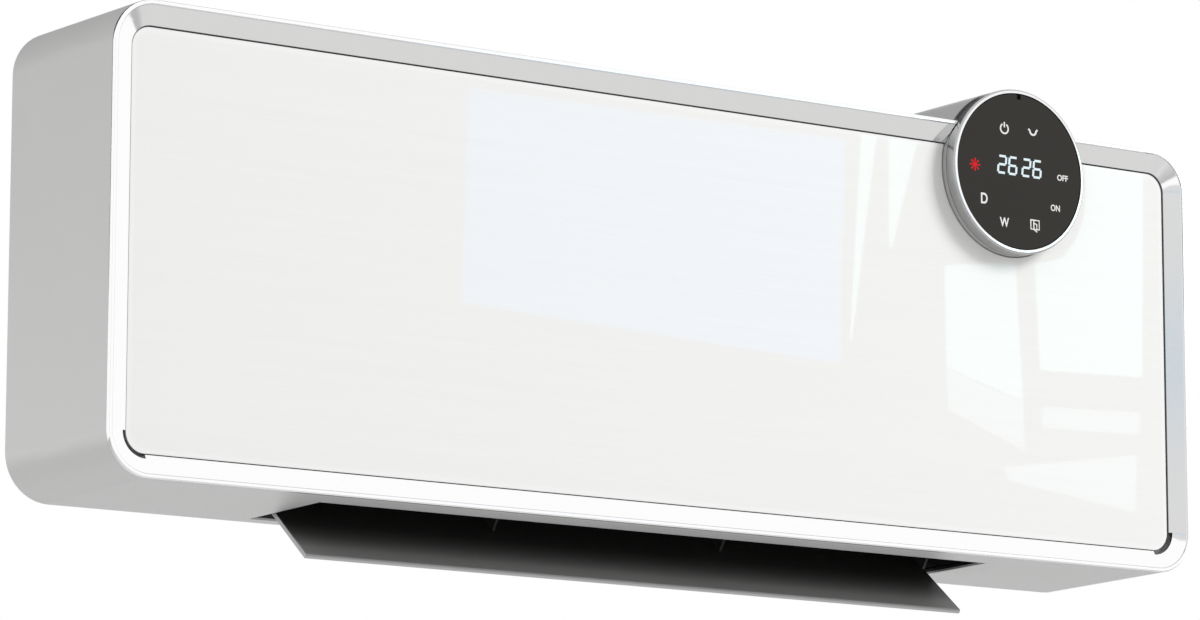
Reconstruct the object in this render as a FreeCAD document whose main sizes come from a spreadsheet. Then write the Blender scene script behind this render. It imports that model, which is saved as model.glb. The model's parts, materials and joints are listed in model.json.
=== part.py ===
import FreeCAD, Part
import math
import os
import re

import Sketcher

# Wall fan heater for a bathroom. The case hangs on a steel bracket. Air is
# drawn in through the grille on top by a cross-flow fan, pushed down through
# a ceramic heating element and blown out under the case past a swinging flap.
# A round control with a turning ring stands on the front at the upper right.
#
# Frame, in millimetres: X to the right, Y towards the wall, Z up. The origin
# lies on the wall plane, at the middle of the case. The front faces -Y.

doc = FreeCAD.newDocument("WallFanHeater")
Vector = FreeCAD.Vector

# ---------------------------------------------------------------- driving sizes

SIZES = [
    # case
    ("body_width", 600, "case width at the wall"),
    ("body_height", 209, "case height at the wall"),
    ("body_depth", 88, "wall to the front lip"),
    ("draft", 1.3, "how much smaller each side is at the front"),
    ("corner_radius", 20.2, "outer corner radius at the front"),
    ("wall", 2.5, "thickness of the case wall"),
    ("fit_gap", 0.3, "clearance between moulded pieces"),
    ("snug_gap", 0.1, "clearance where pieces snap or press together"),
    ("boss_radius", 4.5, "screw boss in the case"),
    ("boss_inset", 3.5, "screw boss centre from the inner wall"),
    ("boss_length", 22, "length of a screw boss"),
    ("boss_pilot", 1.4, "pilot hole radius in a boss"),
    ("boss_margin", 45, "case side to the outer screws of the rear case"),
    # front frame and panel
    ("bezel_side", 2, "depth of the front frame's outer edge"),
    ("lip_width", 2, "width of the raised lip"),
    ("lip_step", 0.5, "step from the lip down to the bevel"),
    ("lip_round", 0.7, "bevelled rounding of the lip"),
    ("bezel_width", 11, "outer edge to the glass"),
    ("panel_recess", 4.9, "glass face behind the lip"),
    ("panel_gap", 0.35, "gap round the glass"),
    ("panel_step", 0.6, "glass face behind the inner edge of the bevel"),
    ("glass_thickness", 3, "front glass"),
    ("carrier_thickness", 2, "carrier plate behind the glass"),
    ("carrier_rib", 1.4, "height of the carrier's ribs"),
    ("carrier_rib_width", 2, "width of the carrier's ribs"),
    ("carrier_rib_pitch", 45, "carrier rib to rib"),
    ("notch_depth", 1.85, "crescent notch in the lower corners of the frame"),
    # rear case and bracket
    ("bracket_space", 4, "depth of the hollow behind the rear case"),
    ("case_thickness", 2, "rear case plate"),
    ("case_rim", 8, "rim and middle rib of the rear case"),
    ("case_rib", 3, "upright ribs of the rear case"),
    ("screw_radius", 1.5, "self-tapping screw"),
    ("screw_head", 2.8, "radius of a screw head"),
    ("head_height", 1.6, "height of a screw head"),
    ("case_screw", 16, "length of a case screw"),
    ("bracket_side", 65, "case side to the bracket's end"),
    ("bracket_drop", 26.5, "case top to the bracket's upper edge"),
    ("bracket_height", 48, "wall bracket"),
    ("bracket_corner", 6, "corner radius of the bracket"),
    ("bracket_sheet", 1.5, "bracket sheet"),
    ("bracket_holes_x", 300, "wall screw holes across"),
    ("bracket_holes_z", 28, "wall screw holes up and down"),
    ("bracket_hole", 2.5, "radius of a wall screw hole"),
    ("hook_margin", 85, "case side to the middle of a hook"),
    ("hook_width", 26, "width of a hook"),
    ("hook_drop", 16.5, "bracket's upper edge to the top face of a hook"),
    ("hook_lip", 6, "upstand of a hook"),
    ("hook_gap", 1.2, "case plate to the upstand of a hook"),
    ("hook_play", 3, "room to lift the case off its hooks"),
    # outlet and flap
    ("outlet_left", 117.75, "left side of the case to the outlet"),
    ("outlet_right", 112.25, "right side of the case to the outlet"),
    ("outlet_front", 20, "front lip to the outlet"),
    ("outlet_rear", 9, "wall to the outlet"),
    ("flap_gap_end", 3.2, "gap at each end of the flap"),
    ("flap_gap_front", 1.2, "gap before the closed flap"),
    ("flap_gap_rear", 2, "gap behind the closed flap"),
    ("flap_thickness", 2.4, "flap blade"),
    ("flap_edge", 0.6, "bevel along the flap's edges"),
    ("pivot_back", 27.3, "wall to the flap's hinge line"),
    ("pivot_rise", 10.8, "hinge line above the underside"),
    ("flap_open", 39.65, "opening angle of the flap at rest"),
    ("ear_thickness", 1.5, "hinge ear of the flap"),
    ("ear_boss", 3.6, "radius of an ear round its pin"),
    ("ear_foot", 4.2, "half width of an ear where it meets the blade"),
    ("ear_second", 115, "left end of the flap to its second ear"),
    ("ear_third", 242, "left end of the flap to its third ear"),
    ("pin_radius", 1.5, "hinge pin"),
    ("pin_play", 0.06, "running clearance of pins and shafts"),
    ("pin_head", 1, "head of a hinge pin"),
    ("drive_radius", 2.5, "output shaft of the flap motor"),
    ("drive_depth", 9, "output shaft inside the flap motor"),
    ("stepper_radius", 14, "flap motor"),
    ("stepper_length", 19, "flap motor"),
    ("stepper_offset", 8, "flap motor's middle above its output shaft"),
    ("stepper_lug", 17.5, "flap motor's screws from its middle"),
    ("stepper_lug_half", 3.5, "half width of a motor lug"),
    ("stepper_lug_sheet", 1.2, "motor lugs"),
    ("stepper_hole", 1.7, "holes in the motor lugs"),
    ("stepper_plug", 17, "width of the motor's terminal cover"),
    # air duct
    ("scroll_thickness", 1.2, "rear wall of the duct"),
    ("scroll_radius", 33, "radius of the scroll over the fan"),
    ("scroll_wrap", 78, "angle that the scroll runs over the fan"),
    ("scroll_gap", 6.8, "gap from the fan to the rear wall"),
    ("duct_sheet", 2, "end plates and front wall of the duct"),
    ("tongue_gap", 3.2, "gap from the fan to the tongue"),
    ("cheek_rise", 38, "fan axis to the upper edge of the end plates"),
    ("cheek_slope", 12, "sloped upper corner of the end plates"),
    ("tongue_lip", 1.5, "thickened upper edge of the front wall"),
    ("guard_rise", 34.5, "case bottom to the finger guard"),
    ("guard_depth", 4, "depth of the finger guard"),
    ("guard_bar", 1.8, "width of a guard bar"),
    # fan
    ("fan_drop", 82.5, "case top to the fan axis"),
    ("fan_front_gap", 6.1, "gap from the fan to the carrier plate"),
    ("blade_inset", 0.8, "disc edge to the blades"),
    ("blade_depth", 6.7, "blades from root to tip"),
    ("blade_curve", 8, "radius of a blade's curve"),
    ("blade_thickness", 1, "blade thickness"),
    ("blade_sweep", 14, "angle from a blade's root to its tip"),
    ("disc_thickness", 1.6, "discs of the fan wheel"),
    ("wheel_gap", 6.2, "fan wheel to the end plates"),
    ("hub_radius", 8, "hubs of the fan wheel"),
    ("hub_length", 14, "hubs of the fan wheel"),
    ("shaft_radius", 3, "motor shaft"),
    ("stub_radius", 2.5, "stub axle of the fan wheel"),
    ("motor_radius", 28, "fan motor"),
    ("motor_length", 44, "fan motor"),
    ("motor_gap", 3.5, "rubber mounts of the motor"),
    ("motor_nose", 10, "radius of the motor's front boss"),
    ("motor_lap", 1.5, "band round the motor"),
    ("motor_edge", 3, "bevels and rear boss of the motor"),
    ("motor_thread", 6, "screws inside the motor"),
    ("mount_circle", 20, "motor screws from the axis"),
    ("mount_radius", 4, "rubber mounts of the motor"),
    ("boot_radius", 9, "rubber boot of the bearing"),
    ("boot_flange", 11.5, "flanges of the rubber boot"),
    ("boot_lip", 1.5, "thickness of a boot flange"),
    ("bush_stands", 1, "bush in front of the boot"),
    ("bush_radius", 5, "sintered bush"),
    # heating element
    ("heater_rise", 52.5, "case bottom to the heating element"),
    ("heater_depth", 15, "depth of the heating element"),
    ("heater_wall", 1.6, "side walls of its frame"),
    ("heater_end", 8, "end blocks of its frame"),
    ("heater_bar", 6, "thickness of a heating bar"),
    ("fin_pitch", 9, "pitch of the folded fins"),
    ("fin_sheet", 0.6, "fin sheet"),
    ("cutout_radius", 8, "thermal cut-out"),
    ("cutout_depth", 7, "thermal cut-out"),
    # intake
    ("intake_side", 110, "left side of the case to the intake"),
    ("intake_gap", 9.1, "intake to the control housing"),
    ("intake_lead", 14, "front lip to the intake"),
    ("intake_rear", 14, "wall to the intake"),
    ("grille_flange", 4, "flange of the intake grille"),
    ("grille_sheet", 1.5, "thickness of the grille's flange"),
    ("grille_sunk", 0.2, "grille below the case's top"),
    ("grille_bar", 4, "bars round the slots"),
    ("slot_width", 4, "slots of the intake grille"),
    ("slot_pitch", 8, "pitch of the slots"),
    ("filter_depth", 3, "dust filter frame"),
    ("filter_pitch", 16, "pitch of the filter's windows"),
    ("filter_bar", 1.6, "bars of the dust filter"),
    # round control
    ("dial_side", 108.1, "right side of the case to the control axis"),
    ("dial_drop", 22.65, "case top to the control axis"),
    ("dial_radius", 39.8, "ring and housing of the control"),
    ("dial_stands", 8.8, "control in front of the glass"),
    ("housing_stands", 2.6, "housing in front of the glass"),
    ("housing_wall", 2.5, "wall of the control housing"),
    ("housing_tube", 9, "depth of the full tube behind the glass"),
    ("flange_width", 7, "fixing flanges of the housing"),
    ("flange_sheet", 2, "fixing flanges of the housing"),
    ("ring_rim", 2.1, "polished rim round the control glass"),
    ("ring_lift", 0.2, "rim in front of the control glass"),
    ("ring_round", 1, "rounded front edge of the ring"),
    ("dial_glass_thickness", 1.3, "control glass"),
    ("glass_play", 0.3, "gap round the control glass"),
    ("ring_depth", 4.6, "ring from its outside to its bearing"),
    ("core_wall", 2.2, "wall of the core"),
    ("core_ledge", 2, "ledges of the core and its housing"),
    ("magnet_width", 1.3, "ring magnet"),
    ("magnet_depth", 1.6, "ring magnet"),
    ("display_gap", 1, "core to the display board"),
    ("display_depth", 3.4, "glass to the display board"),
    ("digits_width", 31, "digit display"),
    ("digits_height", 14, "digit display"),
    ("digits_rise", 2, "digit display above the control axis"),
    ("key_inset", 5, "touch keys from the edge of the display board"),
    ("key_inset_top", 10.3, "two upper touch keys from the edge of the board"),
    ("key_spring", 2.2, "touch spring radius"),
    ("receiver_width", 6, "remote receiver"),
    ("receiver_height", 5, "remote receiver"),
    ("notch_width", 2.4, "notch in the control glass"),
    ("board_sheet", 1.6, "circuit boards"),
    # right side
    ("switch_back", 46, "wall to the power switch"),
    ("switch_rise", 66.5, "case bottom to the power switch"),
    ("switch_flange_y", 15, "switch flange front to back"),
    ("switch_flange_z", 21, "switch flange up and down"),
    ("switch_flange_sheet", 1.5, "switch flange"),
    ("switch_body_y", 12.9, "switch body front to back"),
    ("switch_body_z", 19, "switch body up and down"),
    ("switch_body_x", 14, "switch body depth"),
    ("switch_rim", 1.2, "walls of the switch"),
    ("rocker_tilt", 9, "tilt of the rocker each way"),
    ("rocker_pin", 1, "rocker pin radius"),
    ("rocker_depth", 4.4, "rocker's edge in front of its pin"),
    ("rocker_skirt", 3, "rocker behind its pin"),
    ("side_seat", 1.3, "flat seats cut into the right side"),
    # supply lead
    ("bush_margin", 50, "right side of the case to the cable bush"),
    ("bush_rise", 23.5, "case bottom to the cable bush"),
    ("bush_bore", 4, "cable bush bore radius"),
    ("bush_thread", 7, "cable bush thread radius"),
    ("bush_head", 9, "cable bush head radius"),
    ("bush_flange", 2, "cable bush head thickness"),
    ("bush_length", 11, "cable bush thread length"),
    ("nut_size", 10.4, "cable nut from its middle to a corner"),
    ("nut_height", 4, "cable nut"),
    # control board
    ("board_side", 15, "right side of the case to the control board"),
    ("board_over_bush", 4.6, "nut of the cable bush to the control board"),
    ("board_under_hook", 9, "control board to the slot of a hook"),
    ("board_width", 72, "control board"),
    ("post_length", 8.5, "board posts"),
    ("post_radius", 3.5, "board posts"),
    ("post_inset", 6, "board posts from the edges of the board"),
    ("board_screw", 7.6, "length of a board screw"),
    ("part_left", 6, "parts from the board's left edge"),
    ("part_gap", 7, "relays to the transformer"),
    ("relay_width", 19, "relay"),
    ("relay_height", 15, "relay"),
    ("relay_depth", 15.5, "relay"),
    ("relay_pitch", 19, "relay to relay"),
    ("coil_width", 28, "transformer"),
    ("coil_height", 32, "transformer"),
    ("coil_depth", 24, "transformer"),
    ("terminal_inset", 14, "terminals from the board's left edge"),
    ("terminal_width", 40, "terminals"),
    ("terminal_height", 12, "terminals"),
    ("terminal_depth", 14, "terminals"),
    ("capacitor_inset", 22, "large capacitor from the board's left edge"),
    ("capacitor_pitch", 16, "capacitor to capacitor"),
    ("capacitor_radius", 6, "large capacitor"),
    ("capacitor_depth", 20, "large capacitor"),
    ("small_radius", 5, "small capacitor"),
    ("small_depth", 14, "small capacitor"),
]

sheet = doc.addObject("Spreadsheet::Sheet", "Sizes")
for row, (alias, value, note) in enumerate(SIZES, 1):
    sheet.set(f"A{row}", str(value))
    sheet.set(f"B{row}", note)
    sheet.setAlias(f"A{row}", alias)
doc.recompute()

# Places worked out from the driving sizes.
PLACES = {
    "half_width": "body_width / 2",
    "half_height": "body_height / 2",
    "front_half_width": "half_width - draft",
    "front_half_height": "half_height - draft",
    "front_y": "-body_depth",
    "shell_front": "front_y + bezel_side",
    "glass_front": "front_y + panel_recess",
    "glass_back": "glass_front + glass_thickness",
    "carrier_back": "glass_back + carrier_thickness",
    "case_front": "-(bracket_space + case_thickness)",
    "screw_seat": "-head_height - fit_gap",
    "bracket_top": "half_height - bracket_drop",
    "bracket_low": "bracket_top - bracket_height",
    "hook_x": "half_width - hook_margin",
    "hook_z": "bracket_top - hook_drop",
    "slot_low": "hook_z - hook_lip - bracket_sheet - hook_play",
    "duct_left": "-half_width + outlet_left",
    "duct_right": "half_width - outlet_right",
    "duct_front": "front_y + outlet_front",
    "duct_rear": "case_front - scroll_thickness",
    "disc_radius": "(duct_rear - scroll_gap - carrier_back - fan_front_gap) / 2",
    "blade_tip": "disc_radius - blade_inset",
    "blade_root": "blade_tip - blade_depth",
    "fan_y": "duct_rear - scroll_gap - disc_radius",
    "fan_z": "half_height - fan_drop",
    "cheek_top": "fan_z + cheek_rise",
    "heater_z": "-half_height + heater_rise",
    "guard_z": "-half_height + guard_rise",
    "intake_left": "-half_width + intake_side",
    "intake_right": "dial_x - dial_radius - flange_width - intake_gap",
    "intake_front": "front_y + intake_lead",
    "intake_back": "-intake_rear",
    "dial_x": "half_width - dial_side",
    "dial_z": "half_height - dial_drop",
    "cheek_front": "tube_back + 1",
    "pivot_y": "-pivot_back",
    "wheel_left": "duct_left + wheel_gap",
    "wheel_right": "duct_right - wheel_gap",
    "motor_front": "duct_left - duct_sheet - motor_gap",
    "flap_middle": "(duct_left + duct_right) / 2",
    "flap_half": "(duct_right - duct_left) / 2 - flap_gap_end",
    "hub_end": "wheel_left + hub_length",
    "dial_face": "glass_front - dial_stands",
    "dial_glass_front": "dial_face + ring_lift",
    "dial_glass_back": "dial_glass_front + dial_glass_thickness",
    "dial_glass_radius": "dial_radius - ring_rim - glass_play",
    "housing_front": "glass_front - housing_stands",
    "housing_bore": "dial_radius - housing_wall",
    "journal_radius": "dial_radius - ring_depth",
    "display_radius": "journal_radius - core_wall - display_gap",
    "key_circle": "display_radius - key_inset",
    "key_circle_top": "display_radius - key_inset_top",
    "ring_back": "housing_front - fit_gap",
    "shoulder": "ring_back - fit_gap",
    "tube_back": "glass_front + housing_tube",
    "core_back": "tube_back - core_ledge",
    "magnet_radius": "journal_radius + 1.1",
    "display_front": "dial_glass_back + display_depth",
    "hump_floor": "front_half_height - wall - fit_gap",
    "seat_x": "half_width - side_seat",
    "switch_y": "-switch_back",
    "switch_z": "-half_height + switch_rise",
    "rocker_x": "seat_x - switch_flange_sheet",
    "bush_x": "half_width - bush_margin",
    "bush_z": "-half_height + bush_rise",
    "board_right": "half_width - board_side",
    "board_left": "board_right - board_width",
    "board_low": "bush_z + nut_size + board_over_bush",
    "board_high": "slot_low - board_under_hook",
    "row_low": "(board_high - board_low) / 9",
    "row_middle": "(board_high - board_low) / 3",
    "row_high": "(board_high - board_low) * 0.426",
    "board_front": "board_back - board_sheet",
    "board_back": "case_front - post_length",
}

ALIASES = {alias for alias, value, note in SIZES}
WORD = re.compile(r"[a-z][a-z0-9_]*")


def cell(formula):
    """The formula with each alias and each named place written out."""
    def full(match):
        word = match[0]
        if word in ALIASES:
            return "Sizes." + word
        if word in PLACES:
            return "(" + cell(PLACES[word]) + ")"
        return word
    return WORD.sub(full, str(formula))


def num(formula):
    """The formula's present value."""
    return float(sheet.evalExpression(cell(formula)))


def flare(y):
    """How far the tapered case stands outside its front outline at y."""
    return f"(draft * (body_depth + ({y})) / body_depth)"


def under(y):
    """Height of the case's underside at y."""
    return f"(-front_half_height - {flare(y)})"


def floor_at(y):
    """Height of the case's inner floor at y."""
    return f"({under(y)} + wall + snug_gap)"


def top(y):
    """Height of the case's top at y."""
    return f"(front_half_height + {flare(y)})"


# ---------------------------------------------------------------- drawing helpers


def tie(obj, path, formula):
    """Bind one property of the object to the sheet."""
    obj.setExpression(path, cell(formula))


def fix_point(sketch, geometry, end, x, y):
    """Bind the place of one point of a sketch, measured from its origin."""
    for kind, formula in (("DistanceX", x), ("DistanceY", y)):
        index = sketch.addConstraint(
            Sketcher.Constraint(kind, -1, 1, geometry, end, num(formula)))
        tie(sketch, f"Constraints[{index}]", formula)


def polygon(*points):
    """A closed outline of straight lines through the points."""
    def draw(sketch):
        first = sketch.GeometryCount
        corners = [Vector(num(x), num(y), 0) for x, y in points]
        count = len(corners)
        for i in range(count):
            sketch.addGeometry(Part.LineSegment(corners[i], corners[(i + 1) % count]), False)
        for i in range(count):
            sketch.addConstraint(
                Sketcher.Constraint("Coincident", first + i, 2, first + (i + 1) % count, 1))
        for i, (x, y) in enumerate(points):
            fix_point(sketch, first + i, 1, x, y)
    return draw


def rectangle(x0, x1, y0, y1):
    return polygon((x0, y0), (x1, y0), (x1, y1), (x0, y1))


def circle(x, y, radius):
    def draw(sketch):
        index = sketch.addGeometry(
            Part.Circle(Vector(num(x), num(y), 0), Vector(0, 0, 1), num(radius)), False)
        fix_point(sketch, index, 3, x, y)
        size = sketch.addConstraint(Sketcher.Constraint("Radius", index, num(radius)))
        tie(sketch, f"Constraints[{size}]", radius)
    return draw


def together(*drawings):
    """Several outlines in one sketch."""
    def draw(sketch):
        for drawing in drawings:
            drawing(sketch)
    return draw


def rounded(width, height, radius, x="0", y="0"):
    """A rectangle with rounded corners about x, y."""
    def draw(sketch):
        cx, cy, r = num(x), num(y), num(radius)
        dx, dy = num(width) / 2 - r, num(height) / 2 - r
        normal = Vector(0, 0, 1)
        first = sketch.GeometryCount
        turns = [(1, -1, 270), (1, 1, 0), (-1, 1, 90), (-1, -1, 180)]
        centres = [Vector(cx + sx * dx, cy + sy * dy, 0) for sx, sy, start in turns]
        for centre, (sx, sy, start) in zip(centres, turns):
            a0 = math.radians(start)
            arc = Part.ArcOfCircle(Part.Circle(centre, normal, r), a0, a0 + math.pi / 2)
            sketch.addGeometry(arc, False)
        for i in range(4):
            arc, after = sketch.Geometry[first + i], sketch.Geometry[first + (i + 1) % 4]
            sketch.addGeometry(Part.LineSegment(arc.EndPoint, after.StartPoint), False)
        for i in range(4):
            line = first + 4 + i
            sketch.addConstraint(Sketcher.Constraint("Tangent", first + i, 2, line, 1))
            sketch.addConstraint(Sketcher.Constraint("Tangent", line, 2, first + (i + 1) % 4, 1))
            sketch.addConstraint(Sketcher.Constraint("Horizontal" if i % 2 else "Vertical", line))
        for i in range(1, 4):
            sketch.addConstraint(Sketcher.Constraint("Equal", first, first + i))
        size = sketch.addConstraint(Sketcher.Constraint("Radius", first, r))
        tie(sketch, f"Constraints[{size}]", radius)
        half = f"(({width}) / 2 - ({radius}))"
        rise = f"(({height}) / 2 - ({radius}))"
        fix_point(sketch, first, 3, f"({x}) + {half}", f"({y}) - {rise}")
        fix_point(sketch, first + 2, 3, f"({x}) - {half}", f"({y}) + {rise}")
    return draw


class Moulding:
    """A PartDesign body. Its sketches are drawn in the case's own coordinates:
    X and Z on the XZ plane, Y and Z on the YZ plane, X and Y on the XY plane."""

    def __init__(self, name):
        self.name = name
        self.body = doc.addObject("PartDesign::Body", name)
        self.body.Label = name

    def sketch(self, plane, level, draw, origin=("0", "0")):
        sketch = self.body.newObject("Sketcher::SketchObject", self.name + "_sketch")
        role = plane + "_Plane"
        support = next(o for o in self.body.Origin.OriginFeatures if o.Role == role)
        sketch.AttachmentSupport = [(support, "")]
        sketch.MapMode = "FlatFace"
        tie(sketch, "AttachmentOffset.Base.x", origin[0])
        tie(sketch, "AttachmentOffset.Base.y", origin[1])
        tie(sketch, "AttachmentOffset.Base.z", f"-({level})" if plane == "XZ" else level)
        draw(sketch)
        sketch.Visibility = False
        return sketch

    def feature(self, kind, sketch):
        feature = self.body.newObject("PartDesign::" + kind, self.name + "_" + kind.lower())
        feature.Profile = sketch
        return feature

    def add(self, plane, low, high, draw):
        """Material from low to high along the plane's axis."""
        level = high if plane == "XZ" else low
        pad = self.feature("Pad", self.sketch(plane, level, draw))
        tie(pad, "Length", f"({high}) - ({low})")
        return pad

    def cut(self, plane, low, high, draw):
        """No material from low to high along the plane's axis."""
        level = high if plane == "XZ" else low
        pocket = self.feature("Pocket", self.sketch(plane, level, draw))
        pocket.Reversed = True
        tie(pocket, "Length", f"({high}) - ({low})")
        return pocket

    def loft(self, kind, sections):
        sketches = [self.sketch("XZ", level, draw) for level, draw in sections]
        loft = self.feature(kind + "Loft", sketches[0])
        loft.Sections = [(sketch, [""]) for sketch in sketches[1:]]
        loft.Ruled = True
        return loft

    def turn(self, kind, plane, draw, axis, angle="360", origin=("0", "0"), level="0"):
        """A revolved form about the sketch's own H_Axis or V_Axis."""
        sketch = self.sketch(plane, level, draw, origin)
        turned = self.feature(kind, sketch)
        turned.ReferenceAxis = (sketch, [axis])
        tie(turned, "Angle", angle)
        return turned

    def repeat(self, feature, plane, span, count, axis="N_Axis"):
        """Copies of a feature along an axis of its own sketch."""
        doc.recompute()
        row = self.body.newObject("PartDesign::LinearPattern", self.name + "_row")
        row.Originals = [feature]
        row.Direction = (feature.Profile[0], [axis])
        row.Reversed = plane == "XZ" and axis == "N_Axis"
        tie(row, "Length", span)
        row.Occurrences = count
        self.body.Tip = row
        return row


TURN_TO = {
    "X": FreeCAD.Rotation(Vector(0, 1, 0), 90),
    "Y": FreeCAD.Rotation(Vector(1, 0, 0), -90),
    "Z": FreeCAD.Rotation(),
}


def put(obj, name, x, y, z):
    obj.Label = name
    for axis, formula in zip("xyz", (x, y, z)):
        tie(obj, "Placement.Base." + axis, formula)
    return obj


def block(name, x, y, z):
    """A box between the two formulas given for each axis."""
    box = doc.addObject("Part::Box", name)
    for side, (low, high) in zip(("Length", "Width", "Height"), (x, y, z)):
        tie(box, side, f"({high}) - ({low})")
    return put(box, name, x[0], y[0], z[0])


def rod(name, axis, start, end, across, radius):
    """A cylinder from start to end along an axis; across holds its other two places."""
    cylinder = doc.addObject("Part::Cylinder", name)
    cylinder.Placement = FreeCAD.Placement(Vector(), TURN_TO[axis])
    tie(cylinder, "Radius", radius)
    tie(cylinder, "Height", f"({end}) - ({start})")
    place = list(across)
    place.insert("XYZ".index(axis), start)
    return put(cylinder, name, *place)


def joined(name, *parts):
    """Touching pieces made one."""
    fusion = doc.addObject("Part::MultiFuse", name)
    fusion.Label = name
    fusion.Shapes = list(parts)
    return fusion


def group(name, *parts):
    """Separate solids that share a node."""
    compound = doc.addObject("Part::Compound", name)
    compound.Label = name
    compound.Links = list(parts)
    return compound


def trimmed(name, base, *tools):
    """The base less the tools."""
    cut = doc.addObject("Part::Cut", name)
    cut.Label = name
    cut.Base = base
    cut.Tool = tools[0] if len(tools) == 1 else joined(name + "_tools", *tools)
    return cut


nodes = []


def node(obj):
    """Mark an object as one of the sub-parts that are written out."""
    nodes.append(obj)
    return obj


# ---------------------------------------------------------------- case


def case_outline(y, inset="0"):
    """The case's rounded outline at y, moved inwards by the inset."""
    return rounded(
        f"2 * (front_half_width + {flare(y)} - ({inset}))",
        f"2 * (front_half_height + {flare(y)} - ({inset}))",
        f"corner_radius + {flare(y)} - ({inset})")


boss_x = "half_width - wall - boss_inset"
boss_z = "half_height - wall - boss_inset"
BOSSES = [(f"{side} * (half_width - boss_margin)", f"{level} * ({boss_z})")
          for side in (-1, 1) for level in (-1, 1)]
BOSSES += [(f"{side} * ({boss_x})", "0") for side in (-1, 1)]


def at_bosses(radius):
    return together(*[circle(x, z, radius) for x, z in BOSSES])


def switch_outline(y_size, z_size):
    return rectangle(f"switch_y - ({y_size}) / 2", f"switch_y + ({y_size}) / 2",
                     f"switch_z - ({z_size}) / 2", f"switch_z + ({z_size}) / 2")


def make_body_shell():
    """Tapered sleeve, open to the front and back."""
    shell = Moulding("body_shell")
    shell.loft("Additive", [("0", case_outline("0")),
                            ("shell_front", case_outline("shell_front"))])
    shell.loft("Subtractive", [("0", case_outline("0", "wall")),
                               ("shell_front", case_outline("shell_front", "wall"))])
    shell.add("XZ", "case_front - boss_length", "case_front", at_bosses("boss_radius"))
    shell.cut("XZ", "case_front - boss_length + 4", "case_front", at_bosses("boss_pilot"))
    shell.cut("XY", "-half_height - 1", "-half_height + wall + draft + 1",
              rectangle("duct_left", "duct_right", "duct_front", "-outlet_rear"))
    shell.cut("XY", "half_height - wall - draft - 1", "half_height + 1",
              rectangle("intake_left", "intake_right", "intake_front", "intake_back"))
    shell.cut("XZ", "front_y", "-housing_wall / 2",
              circle("dial_x", "dial_z", "dial_radius + fit_gap / 2"))
    shell.cut("YZ", "seat_x", "half_width + 1", switch_outline(
        "switch_flange_y + fit_gap", "switch_flange_z + fit_gap"))
    shell.cut("YZ", "half_width - 2 * wall", "seat_x + 1", switch_outline(
        "switch_body_y + fit_gap", "switch_body_z + fit_gap"))
    return node(shell.body)


def make_bezel_frame():
    """Front frame: a raised lip and a polished bevel down to the glass."""
    frame = Moulding("bezel_frame")
    low = "-front_half_height"
    bevel_end = "bezel_width - panel_gap"
    section = [
        ("shell_front", "0"),
        ("front_y + lip_round", "0"),
        ("front_y + lip_round / 4", "lip_round / 3"),
        ("front_y", "lip_round"),
        ("front_y", "lip_width - lip_round / 3"),
        ("front_y + lip_step", "lip_width"),
        ("glass_front - panel_step", bevel_end),
        ("glass_back", bevel_end),
        ("glass_back", "wall + fit_gap"),
        ("shell_front", "wall + fit_gap"),
    ]
    path = frame.sketch("XZ", "front_y", case_outline("front_y"))
    profile = frame.sketch("YZ", "0", polygon(*[(y, f"{low} + {inset}") for y, inset in section]))
    sweep = frame.feature("AdditivePipe", profile)
    sweep.Spine = (path, [f"Edge{i + 1}" for i in range(8)])
    dial = circle("dial_x", "dial_z", "dial_radius + panel_gap")
    frame.cut("XZ", "front_y - 1", "carrier_back", dial)
    corner = "(corner_radius - bezel_width)"
    centre_x, centre_z = "(front_half_width - corner_radius)", "-(front_half_height - corner_radius)"
    for side in (-1, 1):
        notch = frame.turn("Groove", "XY", rectangle(
            f"{side} * {corner}", f"{side} * ({corner} + panel_gap + notch_depth)",
            "front_y - 1", "glass_back"),
            "V_Axis", "90", (f"{side} * {centre_x}", "0"), centre_z)
        notch.Reversed = side < 0
    return node(frame.body)


def make_front_panel():
    """Glass front and the carrier plate that it is bonded to."""
    glass = Moulding("glass_panel")
    glass.add("XZ", "glass_front", "glass_back", case_outline("front_y", "bezel_width"))
    glass.cut("XZ", "glass_front", "glass_back", circle("dial_x", "dial_z", "dial_radius + panel_gap"))
    node(glass.body)

    carrier = Moulding("front_carrier")
    carrier.add("XZ", "glass_back", "carrier_back", case_outline("shell_front", "wall + fit_gap"))
    for level in (-1, 0, 1):
        middle = f"({level}) * carrier_rib_pitch"
        carrier.add("XZ", "carrier_back", "carrier_back + carrier_rib", rectangle(
            "-half_width + 3 * corner_radius", "dial_x - dial_radius - corner_radius",
            f"{middle} - carrier_rib_width / 2", f"{middle} + carrier_rib_width / 2"))
    carrier.cut("XZ", "glass_back", "carrier_back", circle("dial_x", "dial_z", "dial_radius + panel_gap"))
    node(carrier.body)


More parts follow.
